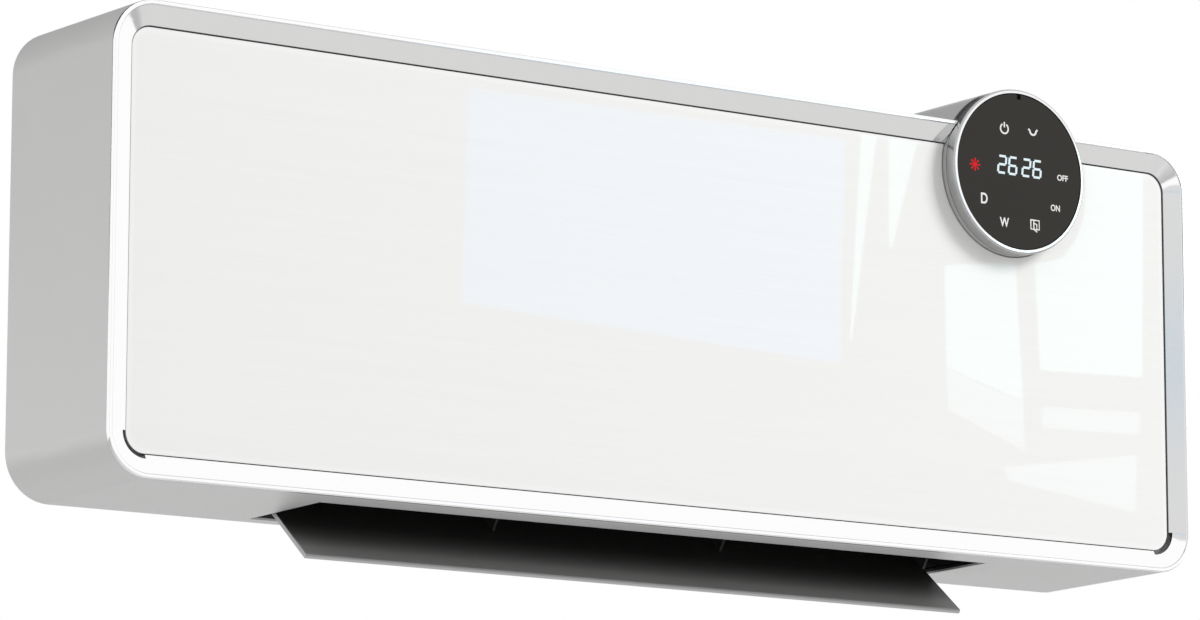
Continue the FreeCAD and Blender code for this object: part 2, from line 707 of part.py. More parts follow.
def make_rear_case():
    """Back of the heater, hollow towards the wall for the bracket."""
    case = Moulding("rear_case")
    inside = "wall + fit_gap + draft * (bracket_space + case_thickness) / body_depth"
    case.add("XZ", "case_front", "0", case_outline("0", inside))
    case.cut("XZ", "-bracket_space", "0", case_outline("0", f"{inside} + case_rim"))
    case.add("XZ", "-bracket_space", "0", rectangle(
        "-half_width + 1.5 * case_rim", "half_width - 1.5 * case_rim",
        "-case_rim / 2", "case_rim / 2"))
    for place in ("-hook_x", "-hook_x / 3", "hook_x / 3", "hook_x"):
        case.add("XZ", "-bracket_space", "0", rectangle(
            f"{place} - case_rib / 2", f"{place} + case_rib / 2",
            "-half_height + 1.5 * case_rim", "bracket_low - case_rim"))
    for side in (-1, 1):
        middle = f"{side} * hook_x"
        case.cut("XZ", "case_front", "-bracket_space", rectangle(
            f"{middle} - hook_width / 2 - hook_play", f"{middle} + hook_width / 2 + hook_play",
            "slot_low", "hook_z + snug_gap"))
    case.cut("XZ", "case_front", "0", at_bosses("screw_radius + fit_gap / 2"))
    case.cut("XZ", "screw_seat", "0", at_bosses("screw_head + fit_gap"))
    case.cut("XZ", "case_front", "0", circle("bush_x", "bush_z", "bush_thread + fit_gap / 2"))
    case.add("XZ", "board_back", "case_front", together(*[
        circle(x, z, "post_radius") for x, z in board_posts()]))
    case.cut("XZ", "board_back", "case_front + 1", together(*[
        circle(x, z, "screw_radius") for x, z in board_posts()]))
    return node(case.body)


def board_posts():
    return [(f"{x} {sx} post_inset", f"{z} {sz} post_inset")
            for x, sx in (("board_left", "+"), ("board_right", "-"))
            for z, sz in (("board_low", "+"), ("board_high", "-"))]


def screw(name, axis, seat, length, way, across):
    """A pan-head screw along an axis. Its head stands on the seat, and its shank
    runs way * length from there."""
    def between(a, b):
        return (a, b) if num(a) < num(b) else (b, a)

    head = between(seat, f"{seat} - ({way}) * head_height")
    shank = between(seat, f"{seat} + ({way}) * ({length})")
    return joined(name, rod(name + "_head", axis, *head, across, "screw_head"),
                  rod(name + "_shank", axis, *shank, across, "screw_radius - fit_gap / 2"))


def make_case_screws():
    screws = [screw(f"case_screw_{i}", "Y", "screw_seat", "case_screw", -1, place)
              for i, place in enumerate(BOSSES, 1)]
    return node(group("case_screws", *screws))


def make_wall_bracket():
    """Sheet-steel bracket with two hooks lanced out of it."""
    bracket = Moulding("wall_bracket")
    middle = "bracket_low + bracket_height / 2"
    bracket.add("XZ", "-bracket_sheet", "0", rounded(
        "2 * (half_width - bracket_side)", "bracket_height", "bracket_corner", "0", middle))
    bracket.cut("XZ", "-bracket_sheet", "0", together(*[
        circle(f"{side} * bracket_holes_x / 2", f"{middle} + {level} * bracket_holes_z / 2",
               "bracket_hole") for side in (-1, 1) for level in (-1, 1)]))
    for side in (-1, 1):
        left = f"{side} * hook_x - hook_width / 2"
        right = f"{side} * hook_x + hook_width / 2"
        bracket.cut("XZ", "-bracket_sheet", "0", rectangle(
            left, right, "hook_z", "hook_z + hook_lip + hook_play"))
        bracket.add("YZ", left, right, polygon(
            ("-bracket_sheet", "hook_z - bracket_sheet"), ("-bracket_sheet", "hook_z"),
            ("case_front - hook_gap", "hook_z"), ("case_front - hook_gap", "hook_z + hook_lip"),
            ("case_front - hook_gap - bracket_sheet", "hook_z + hook_lip"),
            ("case_front - hook_gap - bracket_sheet", "hook_z - bracket_sheet")))
    return node(bracket.body)


# ---------------------------------------------------------------- intake


def make_intake():
    """Slotted grille in the top of the case, with the dust filter under it."""
    gap = "fit_gap"
    grille = Moulding("intake_grille")
    front, back = f"intake_front + {gap}", f"intake_back - {gap}"
    ends = f"intake_left + {gap}", f"intake_right - {gap}"
    under_top = "(wall + snug_gap)"
    grille.add("YZ", *ends, polygon(
        (front, f"{top(front)} - {under_top}"), (back, f"{top(back)} - {under_top}"),
        (back, f"{top(back)} - grille_sunk"), (front, f"{top(front)} - grille_sunk")))
    low_front, low_back = "intake_front - grille_flange", "intake_back + grille_flange"
    grille.add("YZ", "intake_left - grille_flange", "intake_right + grille_flange", polygon(
        (low_front, f"{top(low_front)} - {under_top} - grille_sheet"),
        (low_back, f"{top(low_back)} - {under_top} - grille_sheet"),
        (low_back, f"{top(low_back)} - {under_top}"),
        (low_front, f"{top(low_front)} - {under_top}")))
    first = "intake_left + grille_bar + fit_gap"
    count = int(num(f"intake_right - ({first}) - grille_bar") // num("slot_pitch"))
    middle = "(intake_front + intake_back) / 2"
    roof = "half_height + draft"
    slot = grille.cut("XY", f"{roof} - wall - 2 * grille_sheet - 3 * draft", roof, together(
        rectangle(first, f"{first} + slot_width",
                  "intake_front + grille_bar", f"{middle} - grille_bar / 2"),
        rectangle(first, f"{first} + slot_width",
                  f"{middle} + grille_bar / 2", "intake_back - grille_bar")))
    grille.repeat(slot, "XY", f"{count - 1} * slot_pitch", count, "H_Axis")
    node(grille.body)

    dust = Moulding("dust_filter")
    roof = f"{top(low_front)} - {under_top} - grille_sheet - snug_gap"
    dust.add("XY", f"{roof} - filter_depth", roof, rectangle(
        "intake_left", "intake_right", "intake_front", "intake_back"))
    rows = 3
    step = "filter_pitch"
    start = "intake_left + filter_bar * 2"
    across = f"(intake_back - intake_front - filter_bar * {rows + 3}) / {rows}"
    windows = [rectangle(
        start, f"{start} + {step} - filter_bar",
        f"intake_front + filter_bar * 2 + {i} * ({across} + filter_bar)",
        f"intake_front + filter_bar * 2 + {i} * ({across} + filter_bar) + {across}")
        for i in range(rows)]
    window = dust.cut("XY", f"{roof} - filter_depth", roof, together(*windows))
    count = int(num("intake_right - intake_left - filter_bar * 3") // num(step))
    dust.repeat(window, "XY", f"{count - 1} * ({step})", count, "H_Axis")
    node(dust.body)


# ---------------------------------------------------------------- air duct


def make_duct():
    """Scroll, tongue and the two end plates that carry the fan and the flap."""
    scroll = Moulding("air_scroll")
    scroll.add("YZ", "duct_left", "duct_right", rectangle(
        "duct_rear", "case_front", floor_at("case_front"), "fan_z"))
    scroll.turn("Revolution", "XY", rectangle(
        "duct_left", "duct_right", "scroll_radius", "scroll_radius + scroll_thickness"),
        "H_Axis", "scroll_wrap", ("0", "duct_rear - scroll_radius"), "fan_z")
    node(scroll.body)

    tongue_top = ("(fan_z - sqrt(pow(disc_radius + tongue_gap; 2)"
                  " - pow(fan_y - duct_front; 2)))")
    tongue = Moulding("tongue_guide")
    outside = "duct_front - duct_sheet"
    tongue.add("YZ", "duct_left", "duct_right", polygon(
        (outside, floor_at(outside)), ("duct_front", floor_at(outside)),
        ("duct_front", tongue_top), (f"{outside} - tongue_lip", tongue_top),
        (f"{outside} - tongue_lip", f"{tongue_top} - tongue_lip"),
        (outside, f"{tongue_top} - 4 * tongue_lip")))
    node(tongue.body)

    outline = polygon(
        (outside, floor_at(outside)), ("case_front", floor_at(outside)),
        ("case_front", "cheek_top"), ("cheek_front + cheek_slope", "cheek_top"),
        ("cheek_front", "cheek_top - cheek_slope"), ("cheek_front", "fan_z - disc_radius"),
        (outside, "fan_z - disc_radius - cheek_slope / 2"))
    left = Moulding("duct_end_left")
    left.add("YZ", "duct_left - duct_sheet", "duct_left", outline)
    left.cut("YZ", "duct_left - duct_sheet", "duct_left", together(
        circle("fan_y", "fan_z", "motor_nose + fit_gap"),
        circle("pivot_y", pivot_z, "pin_radius + pin_play"),
        *[circle(y, z, "screw_radius + fit_gap / 2") for y, z in motor_screws()]))
    node(left.body)

    right = Moulding("duct_end_right")
    right.add("YZ", "duct_right", "duct_right + duct_sheet", outline)
    right.cut("YZ", "duct_right", "duct_right + duct_sheet", together(
        circle("fan_y", "fan_z", "boot_radius"),
        circle("pivot_y", pivot_z, "drive_radius + pin_play")))
    node(right.body)


pivot_z = f"({under('pivot_y')} + pivot_rise)"


def motor_screws():
    """Three screws on a circle round the fan axis."""
    return [(f"fan_y + mount_circle * cos({angle})", f"fan_z + mount_circle * sin({angle})")
            for angle in (90, 210, 330)]


# Hinge ears stand at both ends of the flap and near its thirds.
EARS = ["flap_middle - flap_half",
        "flap_middle - flap_half + ear_second",
        "flap_middle - flap_half + ear_third",
        "flap_middle + flap_half - ear_thickness"]


def make_guard():
    """Finger guard over the outlet, with the hangers of the flap's middle pins."""
    guard = Moulding("outlet_guard")
    front, back = "duct_front + fit_gap", "duct_rear - fit_gap"
    guard.add("XY", "guard_z", "guard_z + guard_depth",
              rectangle("duct_left", "duct_right", front, back))
    bays, rows = 8, 6
    length = f"(duct_right - duct_left - {bays + 1} * guard_bar) / {bays}"
    width = f"({back} - ({front}) - {rows + 1} * guard_bar) / {rows}"
    start = "duct_left + guard_bar"
    windows = [rectangle(
        start, f"{start} + {length}",
        f"{front} + guard_bar + {i} * ({width} + guard_bar)",
        f"{front} + guard_bar + {i} * ({width} + guard_bar) + {width}") for i in range(rows)]
    window = guard.cut("XY", "guard_z", "guard_z + guard_depth", together(*windows))
    guard.repeat(window, "XY", f"{bays - 1} * ({length} + guard_bar)", bays, "H_Axis")
    for ear in EARS[1:3]:
        start = f"{ear} + ear_thickness + fit_gap"
        guard.add("YZ", start, f"{start} + ear_thickness", polygon(
            ("pivot_y - ear_boss / 2", f"{pivot_z} - ear_boss"),
            ("pivot_y + ear_boss / 2", f"{pivot_z} - ear_boss"),
            ("pivot_y + ear_boss", f"{pivot_z} - ear_boss / 2"),
            ("pivot_y + ear_boss", "guard_z + guard_depth / 2"),
            ("pivot_y - ear_boss", "guard_z + guard_depth / 2"),
            ("pivot_y - ear_boss", f"{pivot_z} - ear_boss / 2")))
        guard.cut("YZ", start, f"{start} + ear_thickness",
                  circle("pivot_y", pivot_z, "pin_radius + pin_play"))
    return node(guard.body)


# ---------------------------------------------------------------- swinging flap


def make_flap():
    """The flap is drawn closed, about its hinge line, and then swung open."""
    def slope(y):
        """Underside at a distance y from the hinge line, measured from the hinge."""
        return f"(-pivot_rise - draft * ({y}) / body_depth)"

    front = "(duct_front + flap_gap_front - pivot_y)"
    back = "(-outlet_rear - flap_gap_rear - pivot_y)"
    left, right = "flap_middle - flap_half", "flap_middle + flap_half"
    blade = Moulding("outlet_flap")
    blade.add("YZ", left, right, polygon(
        (f"{front} + flap_edge", slope(front)), (f"{back} - flap_edge", slope(back)),
        (back, f"{slope(back)} + flap_edge"),
        (back, f"{slope(back)} + flap_thickness - flap_edge"),
        (f"{back} - flap_edge", f"{slope(back)} + flap_thickness"),
        (f"{front} + flap_edge", f"{slope(front)} + flap_thickness"),
        (front, f"{slope(front)} + flap_thickness - flap_edge"),
        (front, f"{slope(front)} + flap_edge")))
    foot = "(-pivot_rise + flap_thickness / 2)"
    for ear in EARS:
        blade.add("YZ", ear, f"{ear} + ear_thickness", polygon(
            ("-ear_foot", foot), ("ear_foot", foot),
            ("ear_boss", "-ear_boss / 3"), ("ear_boss", "ear_boss / 2"),
            ("ear_boss / 2", "ear_boss"), ("-ear_boss / 2", "ear_boss"),
            ("-ear_boss", "ear_boss / 2"), ("-ear_boss", "-ear_boss / 3")))
    for ear in EARS[:3]:
        blade.cut("YZ", ear, f"{ear} + ear_thickness", circle("0", "0", "pin_radius + pin_play"))
    blade.cut("YZ", EARS[3], f"{EARS[3]} + ear_thickness",
              circle("0", "0", "drive_radius + pin_play"))
    swing_open(blade.body)
    node(blade.body)

    pins = []
    starts = [("duct_left - duct_sheet", f"{EARS[0]} + ear_thickness", 1)]
    starts += [(ear, f"{ear} + 2 * ear_thickness + fit_gap", -1) for ear in EARS[1:3]]
    across = ("pivot_y", pivot_z)
    for i, (low, high, side) in enumerate(starts, 1):
        head = (high, f"{high} + pin_head") if side > 0 else (f"{low} - pin_head", low)
        pins.append(joined(f"pin_{i}", rod(f"pin_{i}_shank", "X", low, high, across, "pin_radius"),
                           rod(f"pin_{i}_head", "X", *head, across, "pin_radius + pin_head")))
    node(group("flap_pins", *pins))

    shaft = Moulding("flap_drive_shaft")
    shaft.add("YZ", EARS[3], "duct_right + duct_sheet + drive_depth",
              circle("pivot_y", pivot_z, "drive_radius"))
    node(shaft.body)


def swing_open(body):
    """Place a piece that is drawn about the hinge line, opened to its rest angle."""
    body.Placement = FreeCAD.Placement(Vector(), FreeCAD.Rotation(Vector(1, 0, 0), 1))
    tie(body, "Placement.Rotation.Angle", "flap_open")
    tie(body, "Placement.Base.y", "pivot_y")
    tie(body, "Placement.Base.z", pivot_z)


def make_flap_motor():
    """Small geared stepper with its output shaft off centre."""
    motor = Moulding("flap_motor")
    start = "duct_right + duct_sheet"
    motor_z = f"({pivot_z} + stepper_offset)"
    motor.add("YZ", start, f"{start} + stepper_length",
              circle("pivot_y", motor_z, "stepper_radius"))
    motor.add("YZ", start, f"{start} + stepper_lug_sheet", rectangle(
        "pivot_y - stepper_lug - stepper_lug_half / 2",
        "pivot_y + stepper_lug + stepper_lug_half / 2",
        f"{motor_z} - stepper_lug_half", f"{motor_z} + stepper_lug_half"))
    motor.add("YZ", start, f"{start} + 0.9 * stepper_length", rectangle(
        "pivot_y - stepper_plug / 2", "pivot_y + stepper_plug / 2",
        f"{motor_z} + 0.7 * stepper_radius", f"{motor_z} + 1.2 * stepper_radius"))
    motor.cut("YZ", start, f"{start} + drive_depth + 2 * snug_gap",
              circle("pivot_y", pivot_z, "drive_radius + pin_play"))
    motor.cut("YZ", start, f"{start} + stepper_lug_sheet", together(*[
        circle(f"pivot_y + ({side}) * stepper_lug", motor_z, "stepper_hole") for side in (-1, 1)]))
    return node(motor.body)


# ---------------------------------------------------------------- fan


def blade_outline():
    """One forward-curved blade between two arcs about the same centre, at the
    top of the wheel. The drawing is about the fan axis."""
    root = ("-blade_root * sin(blade_sweep / 2)", "blade_root * cos(blade_sweep / 2)")
    tip = ("blade_tip * sin(blade_sweep / 2)", "blade_tip * cos(blade_sweep / 2)")

    def draw(sketch):
        a = Vector(num(root[0]), num(root[1]), 0)
        b = Vector(num(tip[0]), num(tip[1]), 0)
        r, t = num("blade_curve"), num("blade_thickness")
        chord = b.sub(a)
        across = Vector(chord.y, -chord.x, 0).normalize()
        middle = a.add(b).multiply(0.5)
        centre = middle.add(across.multiply(math.sqrt(r * r - chord.Length ** 2 / 4)))
        start, end = b.sub(centre), a.sub(centre)
        a0, a1 = math.atan2(start.y, start.x), math.atan2(end.y, end.x)
        normal = Vector(0, 0, 1)
        outer = Part.ArcOfCircle(Part.Circle(centre, normal, r), a0, a1)
        inner = Part.ArcOfCircle(Part.Circle(centre, normal, r - t), a0, a1)
        sketch.addGeometry([outer, inner], False)
        sketch.addGeometry([Part.LineSegment(outer.EndPoint, inner.EndPoint),
                            Part.LineSegment(inner.StartPoint, outer.StartPoint)], False)
        join = Sketcher.Constraint
        sketch.addConstraint([
            join("Coincident", 0, 2, 2, 1), join("Coincident", 1, 2, 2, 2),
            join("Coincident", 1, 1, 3, 1), join("Coincident", 0, 1, 3, 2),
            join("Coincident", 0, 3, 1, 3),
            join("PointOnObject", 0, 3, 2), join("PointOnObject", 0, 3, 3)])
        fix_point(sketch, 0, 1, *tip)
        fix_point(sketch, 0, 2, *root)
        for index, radius in ((0, "blade_curve"), (1, "blade_curve - blade_thickness")):
            size = sketch.addConstraint(join("Radius", index, num(radius)))
            tie(sketch, f"Constraints[{size}]", radius)
    return draw


def make_fan():
    """Cross-flow wheel: curved blades through four discs, on two hubs."""
    wheel = Moulding("fan_wheel")
    axis = ("fan_y", "fan_z")
    length = "wheel_right - wheel_left"

    def ring(level, end, draw):
        pad = wheel.feature("Pad", wheel.sketch("YZ", level, draw, axis))
        tie(pad, "Length", f"({end}) - ({level})")
        return pad

    disc = ring("wheel_left", "wheel_left + disc_thickness", circle("0", "0", "disc_radius"))
    blade = ring("wheel_left", "wheel_right", blade_outline())
    blades = wheel.body.newObject("PartDesign::PolarPattern", "fan_blades")
    blades.Originals = [blade]
    blades.Axis = (blade.Profile[0], ["N_Axis"])
    blades.Angle = 360
    blades.Occurrences = 24
    wheel.body.Tip = blades
    wheel.repeat(disc, "YZ", f"{length} - disc_thickness", 4)
    ring("wheel_left", "wheel_left + hub_length", circle("0", "0", "hub_radius"))
    ring("wheel_right - hub_length", "wheel_right", circle("0", "0", "hub_radius"))
    for low, high, radius in (("wheel_left", "hub_end", "shaft_radius"),
                              ("wheel_right - hub_length", "wheel_right", "stub_radius")):
        bore = wheel.feature("Pocket", wheel.sketch(
            "YZ", low, circle("0", "0", f"{radius} + pin_play / 2"), axis))
        bore.Reversed = True
        tie(bore, "Length", f"({high}) - ({low})")
    node(wheel.body)

    across = ("fan_y", "fan_z")
    node(rod("motor_shaft", "X", "motor_front - motor_length + motor_edge + snug_gap",
             "hub_end - snug_gap", across, "shaft_radius"))
    node(rod("stub_axle", "X", "wheel_right - hub_length + snug_gap",
             "duct_right + duct_sheet + boot_lip + 2 * bush_stands", across, "stub_radius"))

    # boot and bush are turned profiles about the fan axis, drawn as X and radius
    boot = Moulding("bearing_boot")
    face, outer = "duct_right", "duct_right + duct_sheet"
    boot.turn("Revolution", "XY", polygon(
        (f"{face} - boot_lip", "bush_radius"), (f"{outer} + boot_lip", "bush_radius"),
        (f"{outer} + boot_lip", "boot_flange"), (outer, "boot_flange"),
        (outer, "boot_radius"), (face, "boot_radius"),
        (face, "boot_flange"), (f"{face} - boot_lip", "boot_flange")),
        "H_Axis", "360", ("0", "fan_y"), "fan_z")
    node(boot.body)

    bush = Moulding("fan_bush")
    ends = (f"{face} - boot_lip - bush_stands", f"{outer} + boot_lip + bush_stands")
    bush.add("YZ", *ends, circle("fan_y", "fan_z", "bush_radius"))
    bush.cut("YZ", *ends, circle("fan_y", "fan_z", "stub_radius + pin_play"))
    node(bush.body)


def make_fan_motor():
    """Fan motor on three rubber mounts behind the left end plate."""
    motor = Moulding("fan_motor")
    back = "motor_front - motor_length"
    nose = "motor_front + motor_gap + duct_sheet"
    profile = [
        (f"{back} - motor_edge", "0"), (f"{back} - motor_edge", "motor_nose"),
        (back, "motor_nose"), (back, "motor_radius - motor_edge"),
        (f"{back} + motor_edge", "motor_radius"),
        (f"{back} + 0.35 * motor_length", "motor_radius"),
        (f"{back} + 0.35 * motor_length", "motor_radius + motor_lap"),
        (f"{back} + 0.7 * motor_length", "motor_radius + motor_lap"),
        (f"{back} + 0.7 * motor_length", "motor_radius"),
        ("motor_front - motor_edge", "motor_radius"), ("motor_front", "motor_radius - motor_edge"),
        ("motor_front", "motor_nose"), (nose, "motor_nose"), (nose, "0")]
    motor.turn("Revolution", "XY", polygon(*profile), "H_Axis", "360", ("0", "fan_y"), "fan_z")
    motor.cut("YZ", f"{back} + motor_edge", nose,
              circle("fan_y", "fan_z", "shaft_radius + pin_play"))
    motor.cut("YZ", "motor_front - motor_thread - snug_gap", "motor_front", together(
        *[circle(y, z, "screw_radius") for y, z in motor_screws()]))
    node(motor.body)

    mounts = []
    for i, (y, z) in enumerate(motor_screws(), 1):
        mounts.append(trimmed(
            f"mount_{i}",
            rod(f"mount_outer_{i}", "X", "motor_front", "motor_front + motor_gap", (y, z),
                "mount_radius"),
            rod(f"mount_hole_{i}", "X", "motor_front - motor_gap",
                "motor_front + 2 * motor_gap", (y, z), "screw_radius + fit_gap / 2")))
    node(group("motor_mounts", *mounts))
    screws = [screw(f"motor_screw_{i}", "X", "duct_left",
                    "duct_sheet + motor_gap + motor_thread", -1, place)
              for i, place in enumerate(motor_screws(), 1)]
    node(group("motor_screws", *screws))


# ---------------------------------------------------------------- heating element


def make_heater():
    """Ceramic heating bars between folded aluminium fins, in a frame."""
    frame = Moulding("heater_frame")
    front, back = "duct_front + fit_gap", "duct_rear - fit_gap"
    high = "heater_z + heater_depth"
    frame.add("XY", "heater_z", high, rectangle("duct_left", "duct_right", front, back))
    frame.cut("XY", "heater_z", high, rectangle(
        "duct_left + heater_end", "duct_right - heater_end",
        f"{front} + heater_wall", f"{back} - heater_wall"))
    node(frame.body)

    inner = f"({front} + heater_wall)"
    row = f"((({back} - heater_wall) - {inner} - 2 * heater_bar) / 3)"
    ends = ("duct_left + heater_end", "duct_right - heater_end")
    bars = [block(f"heating_bar_{i + 1}", ends,
                  (f"{inner} + {row} + {i} * ({row} + heater_bar)",
                   f"{inner} + {row} + {i} * ({row} + heater_bar) + heater_bar"),
                  ("heater_z + fin_sheet", f"{high} - fin_sheet")) for i in range(2)]
    node(group("heating_bars", *bars))

    folds = [folded_fins(num(f"{ends[0]} + heater_wall"), num(f"{ends[1]} - heater_wall"),
                         num(f"{inner} + {i} * ({row} + heater_bar)") + num("fin_gap"),
                         num(f"{inner} + {i} * ({row} + heater_bar) + {row}") - num("fin_gap"))
             for i in range(3)]
    fins = doc.addObject("Part::Feature", "heating_fins")
    fins.Label = "heating_fins"
    fins.Shape = Part.makeCompound(folds)
    fins.Placement = FreeCAD.Placement(Vector(0, 0, num("heater_z")), FreeCAD.Rotation())
    node(fins)

    node(rod("thermal_cutout", "X", "duct_right + duct_sheet",
             "duct_right + duct_sheet + cutout_depth",
             ("(duct_front + duct_rear) / 2", "heater_z + heater_depth / 2"), "cutout_radius"))


PLACES["fin_gap"] = "snug_gap"


def folded_fins(x0, x1, y0, y1):
    """A zigzag ribbon folded between y0 and y1, as deep as the heating element."""
    folds = max(2, 2 * round((x1 - x0) / num("fin_pitch")))
    step = (x1 - x0) / folds
    thick = num("fin_sheet") * math.hypot(step, y1 - y0) / step
    near = [Vector(x0 + i * step, y1 - thick if i % 2 else y0, 0) for i in range(folds + 1)]
    far = [point + Vector(0, thick, 0) for point in reversed(near)]
    wire = Part.makePolygon(near + far + [near[0]])
    return Part.Face(wire).extrude(Vector(0, 0, num("heater_depth")))


# ---------------------------------------------------------------- round control

DIAL = ("dial_x", "dial_z")


def make_control():
    """Barrel through the case's top, fixed glass face and turning ring."""
    housing = Moulding("control_housing")
    housing.add("XZ", "housing_front", "-housing_wall / 2", circle(*DIAL, "dial_radius"))
    housing.cut("XZ", "tube_back", "-housing_wall / 2", rectangle(
        "dial_x - 2 * dial_radius", "dial_x + 2 * dial_radius",
        "dial_z - 2 * dial_radius", "hump_floor"))
    housing.add("XZ", "tube_back", "case_front - fit_gap", rectangle(
        "dial_x - dial_radius - flange_width", "dial_x + dial_radius + flange_width",
        "hump_floor - flange_sheet", "hump_floor"))
    housing.cut("XZ", "tube_back", "-housing_wall * 1.5", circle(*DIAL, "housing_bore"))
    housing.cut("XZ", "case_front - fit_gap", "0", rectangle(
        "dial_x - 2 * dial_radius", "dial_x + 2 * dial_radius",
        "hump_floor - flange_sheet", "half_height - wall"))
    housing.cut("XZ", "housing_front", "core_back", circle(*DIAL, "housing_bore"))
    housing.cut("XZ", "housing_front", "tube_back", circle(*DIAL, "journal_radius - core_ledge"))
    node(housing.body)

    # turned pieces: drawn on the XY plane as radius and Y, about the control axis
    core_bore = "(journal_radius - core_wall)"
    core = Moulding("control_core")
    core.turn("Revolution", "XY", polygon(
        (core_bore, "dial_glass_back"), ("journal_radius", "dial_glass_back"),
        ("journal_radius", "shoulder"), ("housing_bore - fit_gap / 2", "shoulder"),
        ("housing_bore - fit_gap / 2", "core_back"), ("core_wall * 3", "core_back"),
        ("core_wall * 3", "core_back - core_ledge"),
        (f"{core_bore} - core_ledge", "core_back - core_ledge"),
        (f"{core_bore} - core_ledge", "display_front + board_sheet"),
        (core_bore, "display_front + board_sheet")),
        "V_Axis", "360", ("dial_x", "0"), "dial_z")
    node(core.body)

    bore = "(journal_radius + pin_play)"
    rim = "(dial_radius - ring_rim)"
    magnet_out = "magnet_radius + magnet_width + fit_gap / 6"
    magnet_in = "magnet_radius - fit_gap / 6"
    flange_back = "(shoulder - fit_gap)"
    groove = f"({flange_back} - magnet_depth - fit_gap / 6)"
    ring = Moulding("control_ring")
    ring.turn("Revolution", "XY", polygon(
        (rim, "dial_face"), ("dial_radius - ring_round", "dial_face"),
        ("dial_radius - ring_round * 0.3", "dial_face + ring_round * 0.3"),
        ("dial_radius", "dial_face + ring_round"), ("dial_radius", "ring_back"),
        ("housing_bore", "ring_back"), ("housing_bore", flange_back),
        (magnet_out, flange_back), (magnet_out, groove), (magnet_in, groove),
        (magnet_in, flange_back), (bore, flange_back),
        (bore, "dial_glass_back + fit_gap"), (rim, "dial_glass_back + fit_gap")),
        "V_Axis", "360", ("dial_x", "0"), "dial_z")
    node(ring.body)

    magnet = Moulding("ring_magnet")
    magnet.turn("Revolution", "XY", rectangle(
        "magnet_radius", "magnet_radius + magnet_width",
        f"{flange_back} - magnet_depth", flange_back),
        "V_Axis", "360", ("dial_x", "0"), "dial_z")
    node(magnet.body)

    glass = Moulding("control_glass")
    glass.add("XZ", "dial_glass_front", "dial_glass_back", circle(*DIAL, "dial_glass_radius"))
    glass.cut("XZ", "dial_glass_front", "dial_glass_back", rectangle(
        "dial_x - notch_width / 2", "dial_x + notch_width / 2",
        "dial_z + dial_glass_radius - notch_width", "dial_z + dial_radius"))
    node(glass.body)

    node(rod("display_board", "Y", "display_front", "display_front + board_sheet", DIAL,
             "display_radius"))
    behind = "dial_glass_back + snug_gap"
    node(block("digit_display", ("dial_x - digits_width / 2", "dial_x + digits_width / 2"),
               (behind, "display_front"),
               ("dial_z + digits_rise - digits_height / 2",
                "dial_z + digits_rise + digits_height / 2")))
    touch = [rod(f"touch_spring_{i}", "Y", behind, "display_front",
                 (f"dial_x + {circle_size} * cos({angle})", f"dial_z + {circle_size} * sin({angle})"),
                 "key_spring") for i, (circle_size, angle) in enumerate(KEYS, 1)]
    node(group("touch_springs", *touch))
    node(block("remote_receiver", ("dial_x - receiver_width / 2", "dial_x + receiver_width / 2"),
               (behind, "display_front"),
               ("dial_z + display_radius - 1.4 * receiver_height",
                "dial_z + display_radius - 0.4 * receiver_height")))


# Touch keys on the control face: the circle that each is on, and its angle.
KEYS = [("key_circle_top", 113.5), ("key_circle_top", 66), ("key_circle", 180),
        ("key_circle", 359), ("key_circle", 324.5), ("key_circle", 216),
        ("key_circle", 250.5), ("key_circle", 289.7)]


# ---------------------------------------------------------------- right side


def make_switch():
    """Mains rocker switch, snapped into the right side."""
    housing = Moulding("switch_housing")
    housing.add("YZ", "seat_x", "seat_x + switch_flange_sheet",
                switch_outline("switch_flange_y", "switch_flange_z"))
    housing.add("YZ", "seat_x - switch_body_x", "seat_x",
                switch_outline("switch_body_y", "switch_body_z"))
    housing.cut("YZ", "rocker_x - switch_body_x / 2", "seat_x + switch_flange_sheet",
                switch_outline("switch_body_y - 2 * switch_rim", "switch_body_z - 2 * switch_rim"))
    housing.cut("XZ", "switch_y - switch_body_y / 2 + fit_gap",
                "switch_y + switch_body_y / 2 - fit_gap",
                circle("rocker_x", "switch_z", "rocker_pin + pin_play"))
    node(housing.body)

    # the rocker is drawn level about its pin, then tipped to its rest position
    half = "(switch_body_y / 2 - switch_rim - fit_gap)"
    reach = "(switch_body_z / 2 - switch_rim - 3 * fit_gap)"
    rocker = Moulding("switch_rocker")
    rocker.add("XZ", f"-{half}", half, polygon(
        ("-rocker_skirt", f"-{reach} * 0.7"), ("-rocker_skirt", f"{reach} * 0.7"),
        ("rocker_pin / 2", reach), ("rocker_depth", reach), ("0.7 * rocker_depth", "0"),
        ("rocker_depth", f"-{reach}"), ("rocker_pin / 2", f"-{reach}")))
    rocker.add("XZ", f"-{half} - 0.75 * switch_rim", f"{half} + 0.75 * switch_rim",
               circle("0", "0", "rocker_pin"))
    body = rocker.body
    body.Placement = FreeCAD.Placement(Vector(), FreeCAD.Rotation(Vector(0, 1, 0), 1))
    tie(body, "Placement.Rotation.Angle", "rocker_tilt")
    put(body, "switch_rocker", "rocker_x", "switch_y", "switch_z")
    node(body)


def make_cable_bush():
    """Bush for the supply lead, let into the rear case and held by a nut inside."""
    here = ("bush_x", "bush_z")
    bush = Moulding("cable_bush")
    bush.add("XZ", "-bracket_space", "-bracket_space + bush_flange", circle(*here, "bush_head"))
    bush.add("XZ", "case_front - bush_length", "-bracket_space", circle(*here, "bush_thread"))
    bush.cut("XZ", "case_front - bush_length", "0", circle(*here, "bush_bore"))
    node(bush.body)

    nut = Moulding("cable_nut")
    corners = [(f"bush_x + nut_size * cos({a})", f"bush_z + nut_size * sin({a})")
               for a in range(0, 360, 60)]
    nut.add("XZ", "case_front - nut_height", "case_front", polygon(*corners))
    nut.cut("XZ", "case_front - nut_height", "case_front",
            circle(*here, "bush_thread + pin_play"))
    node(nut.body)


